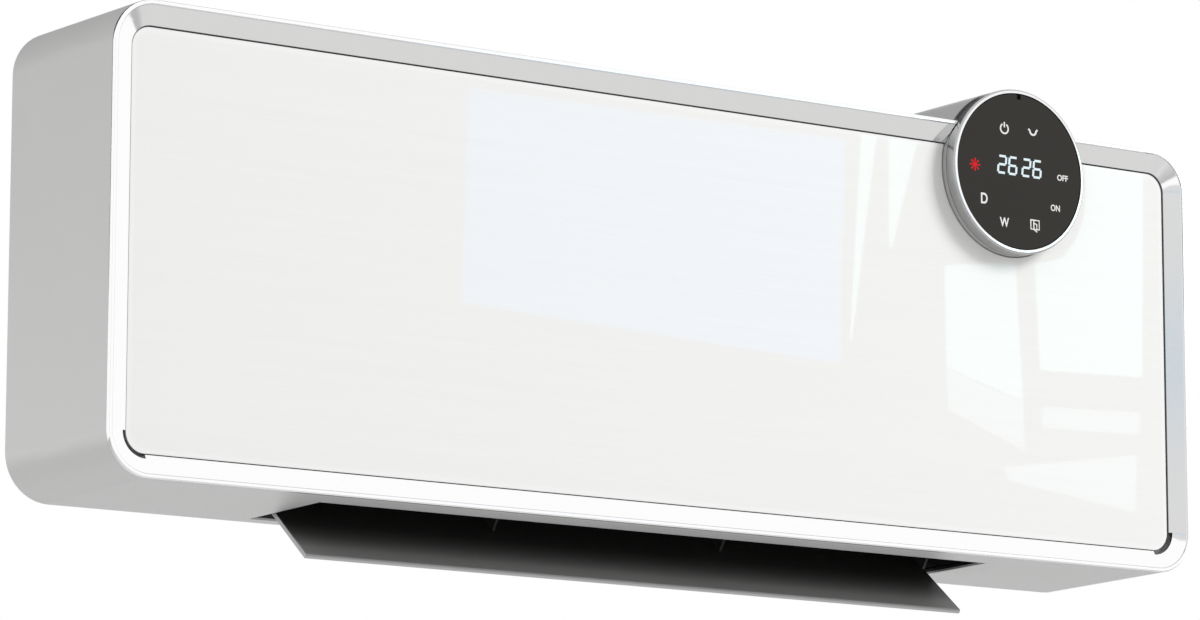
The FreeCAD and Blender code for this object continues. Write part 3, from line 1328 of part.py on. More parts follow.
def make_board():
    """Control board on four posts of the rear case, with its main components."""
    board = Moulding("control_board")
    board.add("XZ", "board_front", "board_back", rectangle(
        "board_left", "board_right", "board_low", "board_high"))
    board.cut("XZ", "board_front", "board_back", together(*[
        circle(x, z, "screw_radius + fit_gap / 2") for x, z in board_posts()]))
    node(board.body)
    screws = [screw(f"board_screw_{i}", "Y", "board_front", "board_screw", 1, place)
              for i, place in enumerate(board_posts(), 1)]
    node(group("board_screws", *screws))

    def stands(name, x, z, width, height, depth):
        """A component on the board, from its lower left corner there."""
        return block(name, (f"board_left + {x}", f"board_left + {x} + {width}"),
                     (f"board_front - {depth}", "board_front"),
                     (f"board_low + {z}", f"board_low + {z} + {height}"))

    node(group("relays", *[
        stands(f"relay_{i + 1}", "part_left", f"row_high + {i} * relay_pitch",
               "relay_width", "relay_height", "relay_depth") for i in range(2)]))
    node(stands("transformer", "part_left + relay_width + part_gap", "row_high",
                "coil_width", "coil_height", "coil_depth"))
    node(stands("terminal_block", "terminal_inset", "row_low",
                "terminal_width", "terminal_height", "terminal_depth"))
    row = "board_low + row_middle"
    node(group("capacitors",
               rod("capacitor_1", "Y", "board_front - capacitor_depth", "board_front",
                   ("board_left + capacitor_inset", row), "capacitor_radius"),
               rod("capacitor_2", "Y", "board_front - small_depth", "board_front",
                   ("board_left + capacitor_inset + capacitor_pitch", row), "small_radius")))


# ---------------------------------------------------------------- build, check, write

for make in (make_body_shell, make_bezel_frame, make_front_panel, make_rear_case,
             make_case_screws, make_wall_bracket, make_intake, make_duct, make_guard,
             make_flap, make_flap_motor, make_fan, make_fan_motor, make_heater,
             make_control, make_switch, make_cable_bush, make_board):
    make()
doc.recompute()

for obj in doc.Objects:
    if "Invalid" in obj.State or "Error" in obj.State:
        raise RuntimeError(f"{obj.Label} failed: {obj.State}")
for obj in nodes:
    if obj.Shape.isNull() or not obj.Shape.isValid() or not obj.Shape.Solids:
        raise RuntimeError(f"{obj.Label} has no sound shape")

os.makedirs("parts", exist_ok=True)
for obj in nodes:
    obj.Shape.exportStep(os.path.join("parts", obj.Label + ".step"))
    box = obj.Shape.BoundBox
    print(f"{obj.Label:18} solids {len(obj.Shape.Solids):3}  {box.XLength:7.1f}"
          f" {box.YLength:6.1f} {box.ZLength:6.1f} mm  {obj.Shape.Volume / 1000:8.2f} cm3")
print(len(nodes), "nodes")
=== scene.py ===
# %% [markdown]
# # A bathroom wall fan heater
# A long case hangs on a wall. Its front is a brushed panel under clear glass in a polished bezel. A round
# touch control with a turning chrome ring sits at its upper right corner. Warm air leaves downwards past a
# swinging flap. The mechanical pieces arrive as a fixed frame: this script gives them their finishes, rounds
# the edges that catch the light, and adds what the frame leaves out, such as print, screws and mesh.

# %% Load the frame
import json
import math

import bmesh
import bpy
from mathutils import Matrix, Vector


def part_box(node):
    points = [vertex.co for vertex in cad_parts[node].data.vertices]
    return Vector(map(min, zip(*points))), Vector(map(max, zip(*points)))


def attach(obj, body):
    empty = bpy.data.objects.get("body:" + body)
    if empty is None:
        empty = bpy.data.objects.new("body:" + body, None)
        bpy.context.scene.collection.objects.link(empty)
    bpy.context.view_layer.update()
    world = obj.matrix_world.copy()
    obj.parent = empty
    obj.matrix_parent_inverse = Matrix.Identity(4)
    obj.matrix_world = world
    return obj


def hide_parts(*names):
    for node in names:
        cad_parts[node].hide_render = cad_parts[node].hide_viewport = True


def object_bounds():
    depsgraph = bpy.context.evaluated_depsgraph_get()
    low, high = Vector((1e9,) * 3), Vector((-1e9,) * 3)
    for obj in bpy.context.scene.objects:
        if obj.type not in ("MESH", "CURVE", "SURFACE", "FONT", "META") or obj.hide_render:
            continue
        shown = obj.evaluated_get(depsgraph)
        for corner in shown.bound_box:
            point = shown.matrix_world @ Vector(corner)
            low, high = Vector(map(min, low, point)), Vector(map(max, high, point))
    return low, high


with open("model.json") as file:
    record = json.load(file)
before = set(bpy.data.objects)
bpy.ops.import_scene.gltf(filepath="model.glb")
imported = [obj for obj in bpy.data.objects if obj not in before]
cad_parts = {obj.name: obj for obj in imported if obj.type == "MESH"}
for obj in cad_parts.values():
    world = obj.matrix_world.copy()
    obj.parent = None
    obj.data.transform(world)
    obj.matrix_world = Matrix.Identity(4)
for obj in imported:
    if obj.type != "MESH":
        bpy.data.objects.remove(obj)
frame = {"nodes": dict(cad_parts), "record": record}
cad_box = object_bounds()
nodes = frame["nodes"]
MM = 0.001
slot_of = {part["node"]: part["material_slot"] for part in frame["record"]["subparts"]}
body_of = {node: body for body, members in frame["record"]["behaviour"]["bodies"].items()
           for node in members}

# %% [markdown]
# ## Node trees as Python
# Node links are hard to read as a list, so a `Wire` stands for one output socket and takes part in ordinary
# arithmetic: `0.3 + 0.1 * grain` adds two Math nodes. `Tree.node` adds every other kind of node: first its
# settings, then the values or wires of its sockets, in order or by name. The same classes serve the world,
# the materials and Geometry Nodes.


# %% Wire
class Wire:
    """One output socket of a node tree, which can be used like a number."""

    def __init__(self, owner, socket):
        self.owner = owner
        self.socket = socket

    def output(self, name):
        """Another output of the same node."""
        return Wire(self.owner, self.socket.node.outputs[name])

    def maths(self, operation, first, second=None):
        return self.owner.node("ShaderNodeMath", {"operation": operation}, first, second)

    def __add__(self, other):
        return self.maths("ADD", self, other)

    def __sub__(self, other):
        return self.maths("SUBTRACT", self, other)

    def __rsub__(self, other):
        return self.maths("SUBTRACT", other, self)

    def __mul__(self, other):
        return self.maths("MULTIPLY", self, other)

    def __truediv__(self, other):
        return self.maths("DIVIDE", self, other)

    def __pow__(self, other):
        return self.maths("POWER", self, other)

    def __abs__(self):
        return self.maths("ABSOLUTE", self)

    def at_least(self, other):
        return self.maths("MAXIMUM", self, other)

    def at_most(self, other):
        return self.maths("MINIMUM", self, other)

    __radd__ = __add__
    __rmul__ = __mul__


print("a wire can do", "+ - * / ** abs at_least at_most")


# %% Tree
class Tree:
    """A node tree that is written in Python."""

    def __init__(self, tree):
        self.tree = tree

    @staticmethod
    def find(sockets, name):
        """A socket by its name, with _ for each space, or by its identifier."""
        return next(socket for socket in sockets
                    if name in (socket.identifier, socket.name.replace(" ", "_")))

    def plug(self, socket, value):
        """Joins a wire or a list of wires to a socket, or sets its value."""
        wires = [wire for wire in (value if isinstance(value, list) else [value]) if isinstance(wire, Wire)]
        for wire in wires:
            self.tree.links.new(wire.socket, socket)
        if not wires and value is not None:
            socket.default_value = value

    def node(self, kind, settings, *values, out=0, **named):
        """Adds a node: its settings first, then its sockets, in order or by name."""
        added = self.tree.nodes.new(kind)
        for key, value in settings.items():
            setattr(added, key, value)
        for socket, value in zip(added.inputs, values):
            self.plug(socket, value)
        for name, value in named.items():
            self.plug(self.find(added.inputs, name), value)
        if not added.outputs:
            return None
        return Wire(self, added.outputs[0] if out == 0 else self.find(added.outputs, out))


print("trees can be written")


# %% Finish
class Finish(Tree):
    """A procedural material. Patterns are in millimetres of the piece's own space."""

    def __init__(self, name, **sockets):
        self.material = bpy.data.materials.new(name)
        self.material.use_nodes = True
        super().__init__(self.material.node_tree)
        self.place = self.node("ShaderNodeTexCoord", {}, out="Object")
        self.set(**sockets)

    def set(self, **sockets):
        """Sets the shader's sockets: Base_Color stands for Base Color."""
        for name, value in sockets.items():
            if name.endswith("Color") and not isinstance(value, Wire):
                value = (*value, 1)
            self.plug(self.find(self.tree.nodes["Principled BSDF"].inputs, name), value)
        return self

    def millimetres(self, stretch=(1, 1, 1), shift=(0, 0, 0)):
        """The piece's own coordinates in millimetres, moved (in metres) and stretched along its axes."""
        moved = self.node("ShaderNodeVectorMath", {"operation": "SUBTRACT"}, self.place, tuple(shift))
        return self.node("ShaderNodeVectorMath", {"operation": "MULTIPLY"}, moved, [x / MM for x in stretch])

    def axes(self, shift=(0, 0, 0)):
        """The three coordinates in millimetres, as three wires."""
        split = self.node("ShaderNodeSeparateXYZ", {}, self.millimetres(shift=shift))
        return split, split.output("Y"), split.output("Z")

    def noise(self, per_mm, detail=2.0, stretch=(1, 1, 1)):
        """Cloudy pattern from 0 to 1, with this many lumps per millimetre."""
        return self.node("ShaderNodeTexNoise", {"noise_dimensions": "3D"}, self.millimetres(stretch),
                         Scale=per_mm, Detail=detail)

    def between(self, value, low, high, smooth=True):
        """0 up to low and 1 from high on."""
        kind = "SMOOTHSTEP" if smooth else "LINEAR"
        return self.node("ShaderNodeMapRange", {"interpolation_type": kind}, value, low, high, 0.0, 1.0)

    def mix(self, share, first, second):
        """A colour between two colours."""
        ends = [(*colour, 1) if isinstance(colour, tuple) else colour for colour in (first, second)]
        return self.node("ShaderNodeMix", {"data_type": "RGBA"}, Factor_Float=share, A_Color=ends[0],
                         B_Color=ends[1], out="Result_Color")

    def inset(self, half_x, half_z, radius):
        """Millimetres inside the outline of a rounded rectangle about the origin, negative outside it."""
        x, _, z = self.axes()
        beyond_x = abs(x) - (half_x - radius)
        beyond_z = abs(z) - (half_z - radius)
        outside_x, outside_z = beyond_x.at_least(0.0), beyond_z.at_least(0.0)
        corner = (outside_x * outside_x + outside_z * outside_z) ** 0.5
        return radius - corner - beyond_x.at_least(beyond_z).at_most(0.0)

    def bump(self, height, depth_mm, strength):
        """Relief: height from 0 to 1 stands for this many millimetres."""
        return self.set(Normal=self.node("ShaderNodeBump", {}, Strength=strength, Distance=depth_mm * MM,
                                         Height=height))


def grey(level):
    return (level, level, level)


def shade(colour, factor):
    return tuple(min(1.0, channel * factor) for channel in colour)


print("finishes can be written, and half white is", shade(grey(1.0), 0.5))

# %% [markdown]
# ## Camera, floor and light
# The heater is seen from its left and from a little below, from two and a half metres and with a long lens,
# which keeps its long edges nearly parallel. The world is an even white studio. It lights the object at about
# half level, but it is plain white to the camera and in reflections, so a colour renders about as it is
# written. One strong soft lamp above and to the right gives the control its shadow. It would leave the other
# sides dull, so three weak ones light the left end, the underside and the top. The pale floor lies well
# below, as under a heater that hangs on a wall, and leaves room for a view from below.


# %% Camera
def in_scene(name, data):
    """A new object that holds this data, in the scene."""
    made = bpy.data.objects.new(name, data)
    bpy.context.scene.collection.objects.link(made)
    return made


CAMERA_PLACE = (-1.38503, -2.01483, -0.41552)
CAMERA_TURN = (99.849, -0.054, -34.762)
LENS_MM, SENSOR_MM = 159.5, 36
camera = in_scene("camera", bpy.data.cameras.new("camera"))
camera.location = CAMERA_PLACE
camera.rotation_euler = [math.radians(turn) for turn in CAMERA_TURN]
camera.data.lens = LENS_MM
camera.data.sensor_width = SENSOR_MM
bpy.context.scene.camera = camera
bpy.context.scene.view_settings.view_transform = "Standard"
print("camera", round(camera.location.length, 2), "metres away")

# %% World
FILL_LEVEL, SEEN_LEVEL = 0.54, 1.0
world = bpy.data.worlds.new("studio")
bpy.context.scene.world = world
world.use_nodes = True
sky = Tree(world.node_tree)
camera_ray = sky.node("ShaderNodeLightPath", {}, out="Is_Camera_Ray")
mirrored = camera_ray.output("Is Glossy Ray") + camera_ray.output("Is Transmission Ray")
seen = (camera_ray + mirrored).at_most(1.0)
background = sky.tree.nodes["Background"]
sky.plug(background.inputs["Color"], (1, 1, 1, 1))
sky.plug(background.inputs["Strength"], FILL_LEVEL + (SEEN_LEVEL - FILL_LEVEL) * seen)
print("fill level", FILL_LEVEL)


# %% Floor and lamps
def lamp(name, size, place, look_at, watts):
    """A soft rectangular lamp."""
    data = bpy.data.lights.new(name, "AREA")
    data.shape = "RECTANGLE"
    data.size, data.size_y = size
    data.energy = watts
    light = in_scene(name, data)
    light.location = place
    light.rotation_euler = (Vector(look_at) - Vector(place)).to_track_quat("-Z", "Y").to_euler()
    light.visible_camera = False
    light.visible_glossy = False


def staged(name, corners, material):
    """A flat shape that isn't part of the object, given by its corners."""
    mesh = bpy.data.meshes.new(name)
    mesh.from_pydata(corners, [], [range(len(corners))])
    mesh.materials.append(material)
    shape = in_scene(name, mesh)
    return shape


FLOOR_DROP, FLOOR_REACH = 2.2, 12.0
FLOOR_CORNERS = [(x * FLOOR_REACH, y * FLOOR_REACH, -FLOOR_DROP)
                 for x, y in ((-1, -1), (1, -1), (1, 1), (-1, 1))]
floor_paint = Finish("floor_paint", Base_Color=grey(0.82), Roughness=0.8).material
staged("floor", FLOOR_CORNERS, floor_paint)

LAMPS = {
    "key": ((2.2, 1.9), (3.5, -3.6, 3.1), 222),
    "side": ((1.2, 1.0), (-2.2, 0.10, -0.45), 9),
    "under": ((1.6, 0.7), (0.0, 0.25, -0.85), 0.6),
    "top": ((1.2, 1.2), (-1.0, 1.2, 2.2), 27),
}
for name, (size, place, watts) in LAMPS.items():
    lamp(name, size, place, (cad_box[0] + cad_box[1]) / 2, watts)
print("floor", -FLOOR_DROP, "lamps", list(LAMPS))

# %% [markdown]
# ## What the glass reflects
# Clear glass and plating show what stands round them, and in an even white studio they would show nothing. A
# picture of a room could surround the scene, but a few glowing cards give cleaner shapes: a bright window
# with its panes and a grey wall in front, a dim room behind and a grey floor. Only reflections see them, so
# they neither light the object nor shade it. Each card is a list of corners in one plane.


# %% Reflection cards
def card(name, colour, corners):
    """A glowing shape that only reflections see."""
    glow = Finish(name)
    emission = glow.node("ShaderNodeEmission", {}, (*colour, 1))
    glow.plug(glow.tree.nodes["Material Output"].inputs["Surface"], emission)
    shape = staged(name, corners, glow.material)
    for ray in ("camera", "diffuse", "transmission", "volume_scatter", "shadow"):
        setattr(shape, "visible_" + ray, False)


SKY_BLUE, DAYLIGHT, HAZE = (1.05, 1.6, 2.6), (2.3, 3.1, 3.2), (1.9, 2.2, 2.3)
WALL_GREY, FLOOR_GREY, DULL_SKY = (0.70, 0.70, 0.695), (0.68, 0.68, 0.675), (0.57, 0.65, 0.72)
IN_FRONT = {
    "window": (SKY_BLUE, ((1.801, 0.843), (2.328, 0.846), (2.317, 0.580), (1.792, 0.599))),
    "narrow_pane": (DAYLIGHT, ((2.352, 0.856), (2.375, 0.856), (2.336, 0.608), (2.333, 0.608))),
    "slanted_pane": (DAYLIGHT, ((2.393, 0.856), (2.436, 0.856), (2.397, 0.726), (2.392, 0.725))),
    "far_window": (DAYLIGHT, ((2.475, 0.712), (2.583, 0.728), (2.592, 0.560), (2.476, 0.590))),
    "far_window_low": (HAZE, ((2.476, 0.588), (2.592, 0.558), (2.594, 0.500), (2.478, 0.540))),
    "bright_window": (DAYLIGHT, ((2.612, 0.728), (2.655, 0.740), (2.676, 0.764), (2.690, 0.796),
                                 (2.694, 0.828), (2.690, 0.870), (2.785, 0.870), (2.778, 0.606),
                                 (2.619, 0.600))),
    "window_sill": (HAZE, ((2.621, 0.556), (2.774, 0.562), (2.772, 0.535), (2.621, 0.530))),
    "garden": (HAZE, ((2.560, 0.478), (2.768, 0.510), (2.764, 0.440), (2.570, 0.462))),
    "grey_wall": (WALL_GREY, ((-0.30, 0.00), (0.16, 0.00), (0.16, 0.80), (-0.30, 0.86))),
}
SKY_ON_WALL = ((-0.30, 0.44), (0.16, 0.40), (0.16, 0.50), (-0.30, 0.56))
ROOM_BEHIND = ((-2.2, 0.6), (2.2, 0.6), (2.2, 3.4), (-2.2, 3.4))
FLOOR_AREA = ((0.30, -2.1), (1.85, -2.1), (1.85, -1.2), (0.40, -1.2))
FRONT_Y, BEHIND_Y, FLOOR_CARD_Z, CARD_STEP = -3.0, 3.0, -0.88, 0.01
for name, (colour, corners) in IN_FRONT.items():
    card(name, colour, [(x, FRONT_Y, z) for x, z in corners])
card("sky_on_wall", DULL_SKY, [(x, FRONT_Y + CARD_STEP, z) for x, z in SKY_ON_WALL])
card("dark_room", grey(0.05), [(x, BEHIND_Y, z) for x, z in ROOM_BEHIND])
card("grey_floor", FLOOR_GREY, [(x, y, FLOOR_CARD_Z) for x, y in FLOOR_AREA])
print("cards in front", len(IN_FRONT) + 1, "behind 1, below 1")

# %% [markdown]
# ## Painted and plated plastic
# The case is painted outside with satin silver: tiny bright flakes under a soft sheen. Its cut faces, where
# the outlet and the slots go through the wall, are black from just below the skin: painted shade for the dark
# inside the openings. The bezel is plated and polished, with a fine crease where its flat rim turns into the
# bevel; the crease and the bezel's wall at the gap to the glass are darkened with painted shade. The black
# could be a mesh of its own, but where it starts follows from the case's outline, so the shader works out how
# deep a point lies inside that outline and chooses between the two.

# %% Sizes that the paint follows
MOULD_DRAFT = 1.3
SKIN_CORNER = 21.5
# below this depth the cut faces turn black: painted shade for the dark inside the openings
CUT_SHADE_DEPTH, CUT_SHADE_FADE = 0.9, 0.15
# the depth of the housing's band of painted shade, in the gap at the control ring
RING_GAP_SHADE_START, RING_GAP_SHADE_END = -84.0, -82.0
shell_low, shell_high = (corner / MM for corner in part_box("body_shell"))
bezel_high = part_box("bezel_frame")[1] / MM
panel_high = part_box("glass_panel")[1] / MM
print("case", shell_high.x, shell_high.z, "panel", panel_high.x, panel_high.z)

# %% Satin silver
FLAKES_PER_MM, FILM_PER_MM = 2.6, 0.02
FLAKE_RELIEF_MM, FLAKE_STRENGTH = 0.012, 0.35
PAINT_METALLIC, PAINT_COAT, COAT_ROUGHNESS = 0.25, 0.15, 0.3
PAINT_ROUGHNESS, PAINT_UNEVENNESS = 0.34, 0.08


def silver_film(paint, tone):
    """Gives a finish the relief of silver flakes, and returns the film's colour, roughness and flakes."""
    flake = paint.noise(FLAKES_PER_MM, detail=1.0)
    film = paint.noise(FILM_PER_MM)
    light = paint.between(flake, 0.3, 0.7, smooth=False) * 0.6 + film * 0.4
    paint.bump(flake, FLAKE_RELIEF_MM, FLAKE_STRENGTH)
    colour = paint.mix(light, shade(tone, 0.965), shade(tone, 1.035))
    return colour, PAINT_ROUGHNESS + PAINT_UNEVENNESS * film, flake


def satin_silver(name, tone):
    """Silver paint all over."""
    paint = Finish(name, Metallic=PAINT_METALLIC, Coat_Roughness=COAT_ROUGHNESS, Coat_Weight=PAINT_COAT)
    colour, roughness, _ = silver_film(paint, tone)
    return paint.set(Base_Color=colour, Roughness=roughness).material


def housing_paint(name, tone):
    """Silver paint with a black band of painted shade in the gap at the ring, where the housing stands above
    the bezel.
    """
    paint = Finish(name, Coat_Roughness=COAT_ROUGHNESS, Coat_Weight=PAINT_COAT)
    colour, roughness, _ = silver_film(paint, tone)
    _, y, z = paint.axes()
    above_bezel = paint.between(z, bezel_high.z - 1, bezel_high.z + 2)
    # painted shade: a black band in the gap between the housing and the ring, above the bezel
    painted_ring_gap_shade = (1 - paint.between(y, RING_GAP_SHADE_START, RING_GAP_SHADE_END)) * above_bezel
    paint.set(Base_Color=paint.mix(painted_ring_gap_shade, colour, grey(0.02)), Roughness=roughness,
              Metallic=PAINT_METALLIC * (1 - painted_ring_gap_shade))
    return paint.material


def shell_paint(name, tone):
    """Silver paint on the skin, and black painted shade on the cut faces that go deeper."""
    paint = Finish(name, Coat_Roughness=COAT_ROUGHNESS)
    colour, roughness, _ = silver_film(paint, tone)
    _, y, _ = paint.axes()
    draft = abs(y) * (MOULD_DRAFT / -shell_low.y)
    depth = paint.inset(shell_high.x - draft, shell_high.z - draft, SKIN_CORNER - draft)
    # painted shade: black on the cut faces below the skin
    painted_cut_shade = paint.between(depth, CUT_SHADE_DEPTH, CUT_SHADE_DEPTH + CUT_SHADE_FADE)
    paint.set(Base_Color=paint.mix(painted_cut_shade, colour, grey(0.012)), Roughness=roughness + 0.1 * painted_cut_shade,
              Metallic=PAINT_METALLIC * (1 - painted_cut_shade), Coat_Weight=PAINT_COAT * (1 - painted_cut_shade))
    return paint.material


print("silver has", FLAKES_PER_MM, "flakes per millimetre")

# %% Bright plating
HAZE_PER_MM, HAZE_ROUGHNESS = 0.35, 0.04
BEZEL_CORNER, CREASE_INSET, GAP_INSET = 20.2, 2.0, 10.55
RING_INSIDE, RING_FLAT_EDGE = 37.8, 38.8
ring_low, ring_high = (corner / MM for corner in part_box("control_ring"))


def bezel_plating(name, tone, roughness):
    """Plating with painted shade: a dark line along the crease round the rim, and a dark wall at the gap."""
    plate = Finish(name)
    haze = plate.noise(HAZE_PER_MM, detail=3.0)
    inset = plate.inset(bezel_high.x, bezel_high.z, BEZEL_CORNER)
    # painted shade: a dark line along the crease between the rim and the bevel; the same mask gives its
    # relief
    crease = 1 - plate.between(abs(inset - CREASE_INSET), 0.05, 0.35)
    # painted shade: the wall at the gap to the glass is dark
    gap = plate.between(inset, GAP_INSET - 0.1, GAP_INSET + 0.05)
    bright = plate.mix(haze, shade(tone, 0.985), tone)
    painted_crease_shade = plate.mix(crease * 0.45, bright, grey(0.30))
    plate.set(Base_Color=plate.mix(gap, painted_crease_shade, grey(0.13)),
              Roughness=roughness + HAZE_ROUGHNESS * haze + 0.4 * gap, Metallic=1 - gap)
    return plate.bump(1 - crease * 0.5, 0.05, 0.6).material


def ring_plating(name, tone, roughness):
    """A polished rim, a turned side darkened as a painted reflection of shade, and a black inner wall."""
    plate = Finish(name)
    haze = plate.noise(HAZE_PER_MM, detail=3.0)
    turned = plate.noise(1.0, stretch=(0.05, 3.0, 0.05))
    x, _, z = plate.axes(shift=((ring_low + ring_high) / 2) * MM)
    reach = (x * x + z * z) ** 0.5
    side = plate.between(reach, RING_FLAT_EDGE - 0.1, RING_FLAT_EDGE + 0.4)
    inside = 1 - plate.between(reach, RING_INSIDE, RING_INSIDE + 0.1)
    bright = plate.mix(haze, shade(tone, 0.98), tone)
    # painted reflection: the side is darker, as it mirrors the shaded panel round the ring
    painted_side_shade = plate.mix(side, bright, grey(0.50))
    plate.set(Base_Color=plate.mix(inside, painted_side_shade, grey(0.01)),
              Roughness=roughness + side * (0.14 + 0.1 * turned) + 0.4 * inside, Metallic=1 - inside)
    return plate.material


print("ring", round(ring_high.x - ring_low.x, 1), "across")

# %% [markdown]
# ## Glass front and glass control
# The front panel is a metal sheet with fine brushed lines along its length, laminated behind clear glass.
# Real refraction would only blur it, so the sheet is the base of the shader and the glass is its clear coat.
# The glass is brighter for a few millimetres inside its edge, a painted reflection of its thickness, and its
# sides are darkened with painted shade in the gap. The control's face is smoked glass printed black behind.

# %% Panel and dial
PANEL_CORNER, EDGE_BAND = 9.2, 3.5
GLASS_ROUGHNESS = 0.012


def brushed_panel(name):
    """A brushed sheet under clear glass, with a painted reflection along its edge and painted shade on its
    sides.
    """
    panel = Finish(name, Coat_Weight=1.0, Coat_Roughness=GLASS_ROUGHNESS, Coat_IOR=1.5,
                   Specular_IOR_Level=0.0)
    hair = panel.noise(1.0, detail=3.0, stretch=(0.012, 1, 2.2))
    band = panel.noise(1.0, detail=1.0, stretch=(0.002, 1, 0.25))
    lines = panel.between(hair * 0.7 + band * 0.3, 0.3, 0.7)
    inset = panel.inset(panel_high.x, panel_high.z, PANEL_CORNER)
    # painted reflection: a brighter band a few millimetres inside the glass edge
    rim = 1 - panel.between(inset, 0.5, EDGE_BAND)
    # painted shade: the glass's sides are dark in the gap
    side = 1 - panel.between(inset, 0.04, 0.12)
    sheet = panel.mix(lines, (0.876, 0.876, 0.860), (0.896, 0.896, 0.882))
    painted_edge_reflection = panel.mix(rim * 0.8, sheet, (0.945, 0.948, 0.945))
    panel.set(Base_Color=panel.mix(side, painted_edge_reflection, (0.20, 0.21, 0.21)), Roughness=0.5 + 0.2 * lines)
    return panel.material


def dark_glass(name):
    """Smoked glass, printed black behind, with a trace of brown."""
    glass = Finish(name, Coat_Weight=1.0, Coat_Roughness=GLASS_ROUGHNESS, Coat_IOR=1.45,
                   Specular_IOR_Level=0.0, Roughness=0.4)
    smoke = glass.noise(0.03, detail=1.0)
    glass.set(Base_Color=glass.mix(smoke, (0.0062, 0.0034, 0.0002), (0.0078, 0.0048, 0.0010)))
    return glass.material


# EDGE_BAND is the width of the painted reflection along the glass edge
print("ground edge of the glass", EDGE_BAND)

# %% [markdown]
# ## Plain plastic, metal and rubber
# A few plain kinds serve the other slots, most of them inside the case. Moulded plastic and rubber have a
# fine pebbled grain from an eroded mould. Sheet metal is galvanised, so it shows faint crystals, and turned
# or rolled metal shows lines. Pictures of these surfaces would need a way to lie on each piece; noise in the
# piece's own space needs none and shows no seams.


# %% Moulded plastic and metal
def moulded(name, tone, grain=1.4, depth=0.02, roughness=0.5):
    """Plastic from an eroded mould: a fine pebbled grain."""
    plastic = Finish(name)
    pebble = plastic.noise(grain)
    cloud = plastic.noise(0.03)
    plastic.set(Base_Color=plastic.mix(cloud, shade(tone, 0.9), shade(tone, 1.1)),
                Roughness=roughness - 0.06 + 0.12 * pebble)
    return plastic.bump(pebble, depth, 0.5).material


def ground_metal(name, tone, stretch=(0.05, 2.0, 2.0), roughness=0.3):
    """Metal with fine lines left by grinding or rolling."""
    metal = Finish(name, Metallic=1.0)
    lines = metal.noise(1.5, detail=3.0, stretch=stretch)
    metal.set(Base_Color=metal.mix(lines, shade(tone, 0.85), tone), Roughness=roughness + 0.15 * lines)
    return metal.bump(lines, 0.01, 0.3).material


def zinc_plate(name, tone):
    """Galvanised sheet: faint patches of crystals with a dull shine."""
    zinc = Finish(name, Metallic=0.9)
    crystals = zinc.node("ShaderNodeTexVoronoi", {"feature": "F1"}, zinc.millimetres(), Scale=0.18,
                         out="Color")
    patch = zinc.node("ShaderNodeSeparateXYZ", {}, crystals)
    fine = zinc.noise(1.2)
    zinc.set(Base_Color=zinc.mix(patch * 0.6 + fine * 0.4, shade(tone, 0.85), shade(tone, 1.08)),
             Roughness=0.38 + 0.12 * patch)
    return zinc.bump(fine, 0.01, 0.3).material


def circuit_board(name):
    """Green solder mask over a faint weave of glass cloth."""
    board = Finish(name, Coat_Roughness=0.2, Coat_Weight=0.4, Roughness=0.35)
    threads = [board.node("ShaderNodeTexWave", {"bands_direction": way}, board.millimetres(), Scale=0.35)
               for way in ("X", "Z")]
    cloth = threads[0] * threads[1]
    board.set(Base_Color=board.mix(cloth, (0.008, 0.085, 0.035), (0.012, 0.12, 0.05)))
    return board.bump(cloth, 0.02, 0.3).material


print("plain kinds are ready")

# %% [markdown]
# ## The flap
# The flap is black on the face that guides the air and silver on its outer face and its edges. The black
# face is painted lighter towards the free edge: painted light, where the face comes out of the case's shade.
# A second material on some faces would have a hard border, so the shader measures along the flap from its
# hinge and out from its plate, in the position in which the frame holds it.

# %% Flap finish
FLAP_TILT = math.radians(39.65)
HINGE_Y, HINGE_Z = -27.3, -93.297
FLAP_FACE = -8.4
# painted light on the black face: it starts this far from the hinge and is strongest at the free edge
PAINTED_LIGHT_START, FLAP_EDGE = 8.0, 32.5
PAINTED_LIGHT_FALL, PAINTED_LIGHT_SHARE = 2.2, 0.82


def flap_finish(name, tone):
    """Silver outside, black inside, and painted light that lightens the black towards the free edge."""
    flap = Finish(name)
    colour, roughness, flake = silver_film(flap, tone)
    _, y, z = flap.axes(shift=(0, HINGE_Y * MM, HINGE_Z * MM))
    reach = y * -math.cos(FLAP_TILT) + z * -math.sin(FLAP_TILT)
    height = y * -math.sin(FLAP_TILT) + z * math.cos(FLAP_TILT)
    inner = flap.between(height, FLAP_FACE - 0.22, FLAP_FACE - 0.1)
    # painted light: the black face gets lighter towards the free edge, where it leaves the case's shade
    painted_edge_light = ((reach - PAINTED_LIGHT_START) / (FLAP_EDGE - PAINTED_LIGHT_START)).at_least(0.0).at_most(1.0) ** PAINTED_LIGHT_FALL
    black = flap.mix(flake, (0.034, 0.034, 0.032), (0.046, 0.046, 0.043))
    painted_edge_lit = flap.mix(painted_edge_light * PAINTED_LIGHT_SHARE, black, tone)
    flap.set(Base_Color=flap.mix(inner, colour, painted_edge_lit), Roughness=roughness + 0.08 * inner,
             Metallic=PAINT_METALLIC * (1 - inner))
    return flap.material


print("flap turned", round(math.degrees(FLAP_TILT), 2))

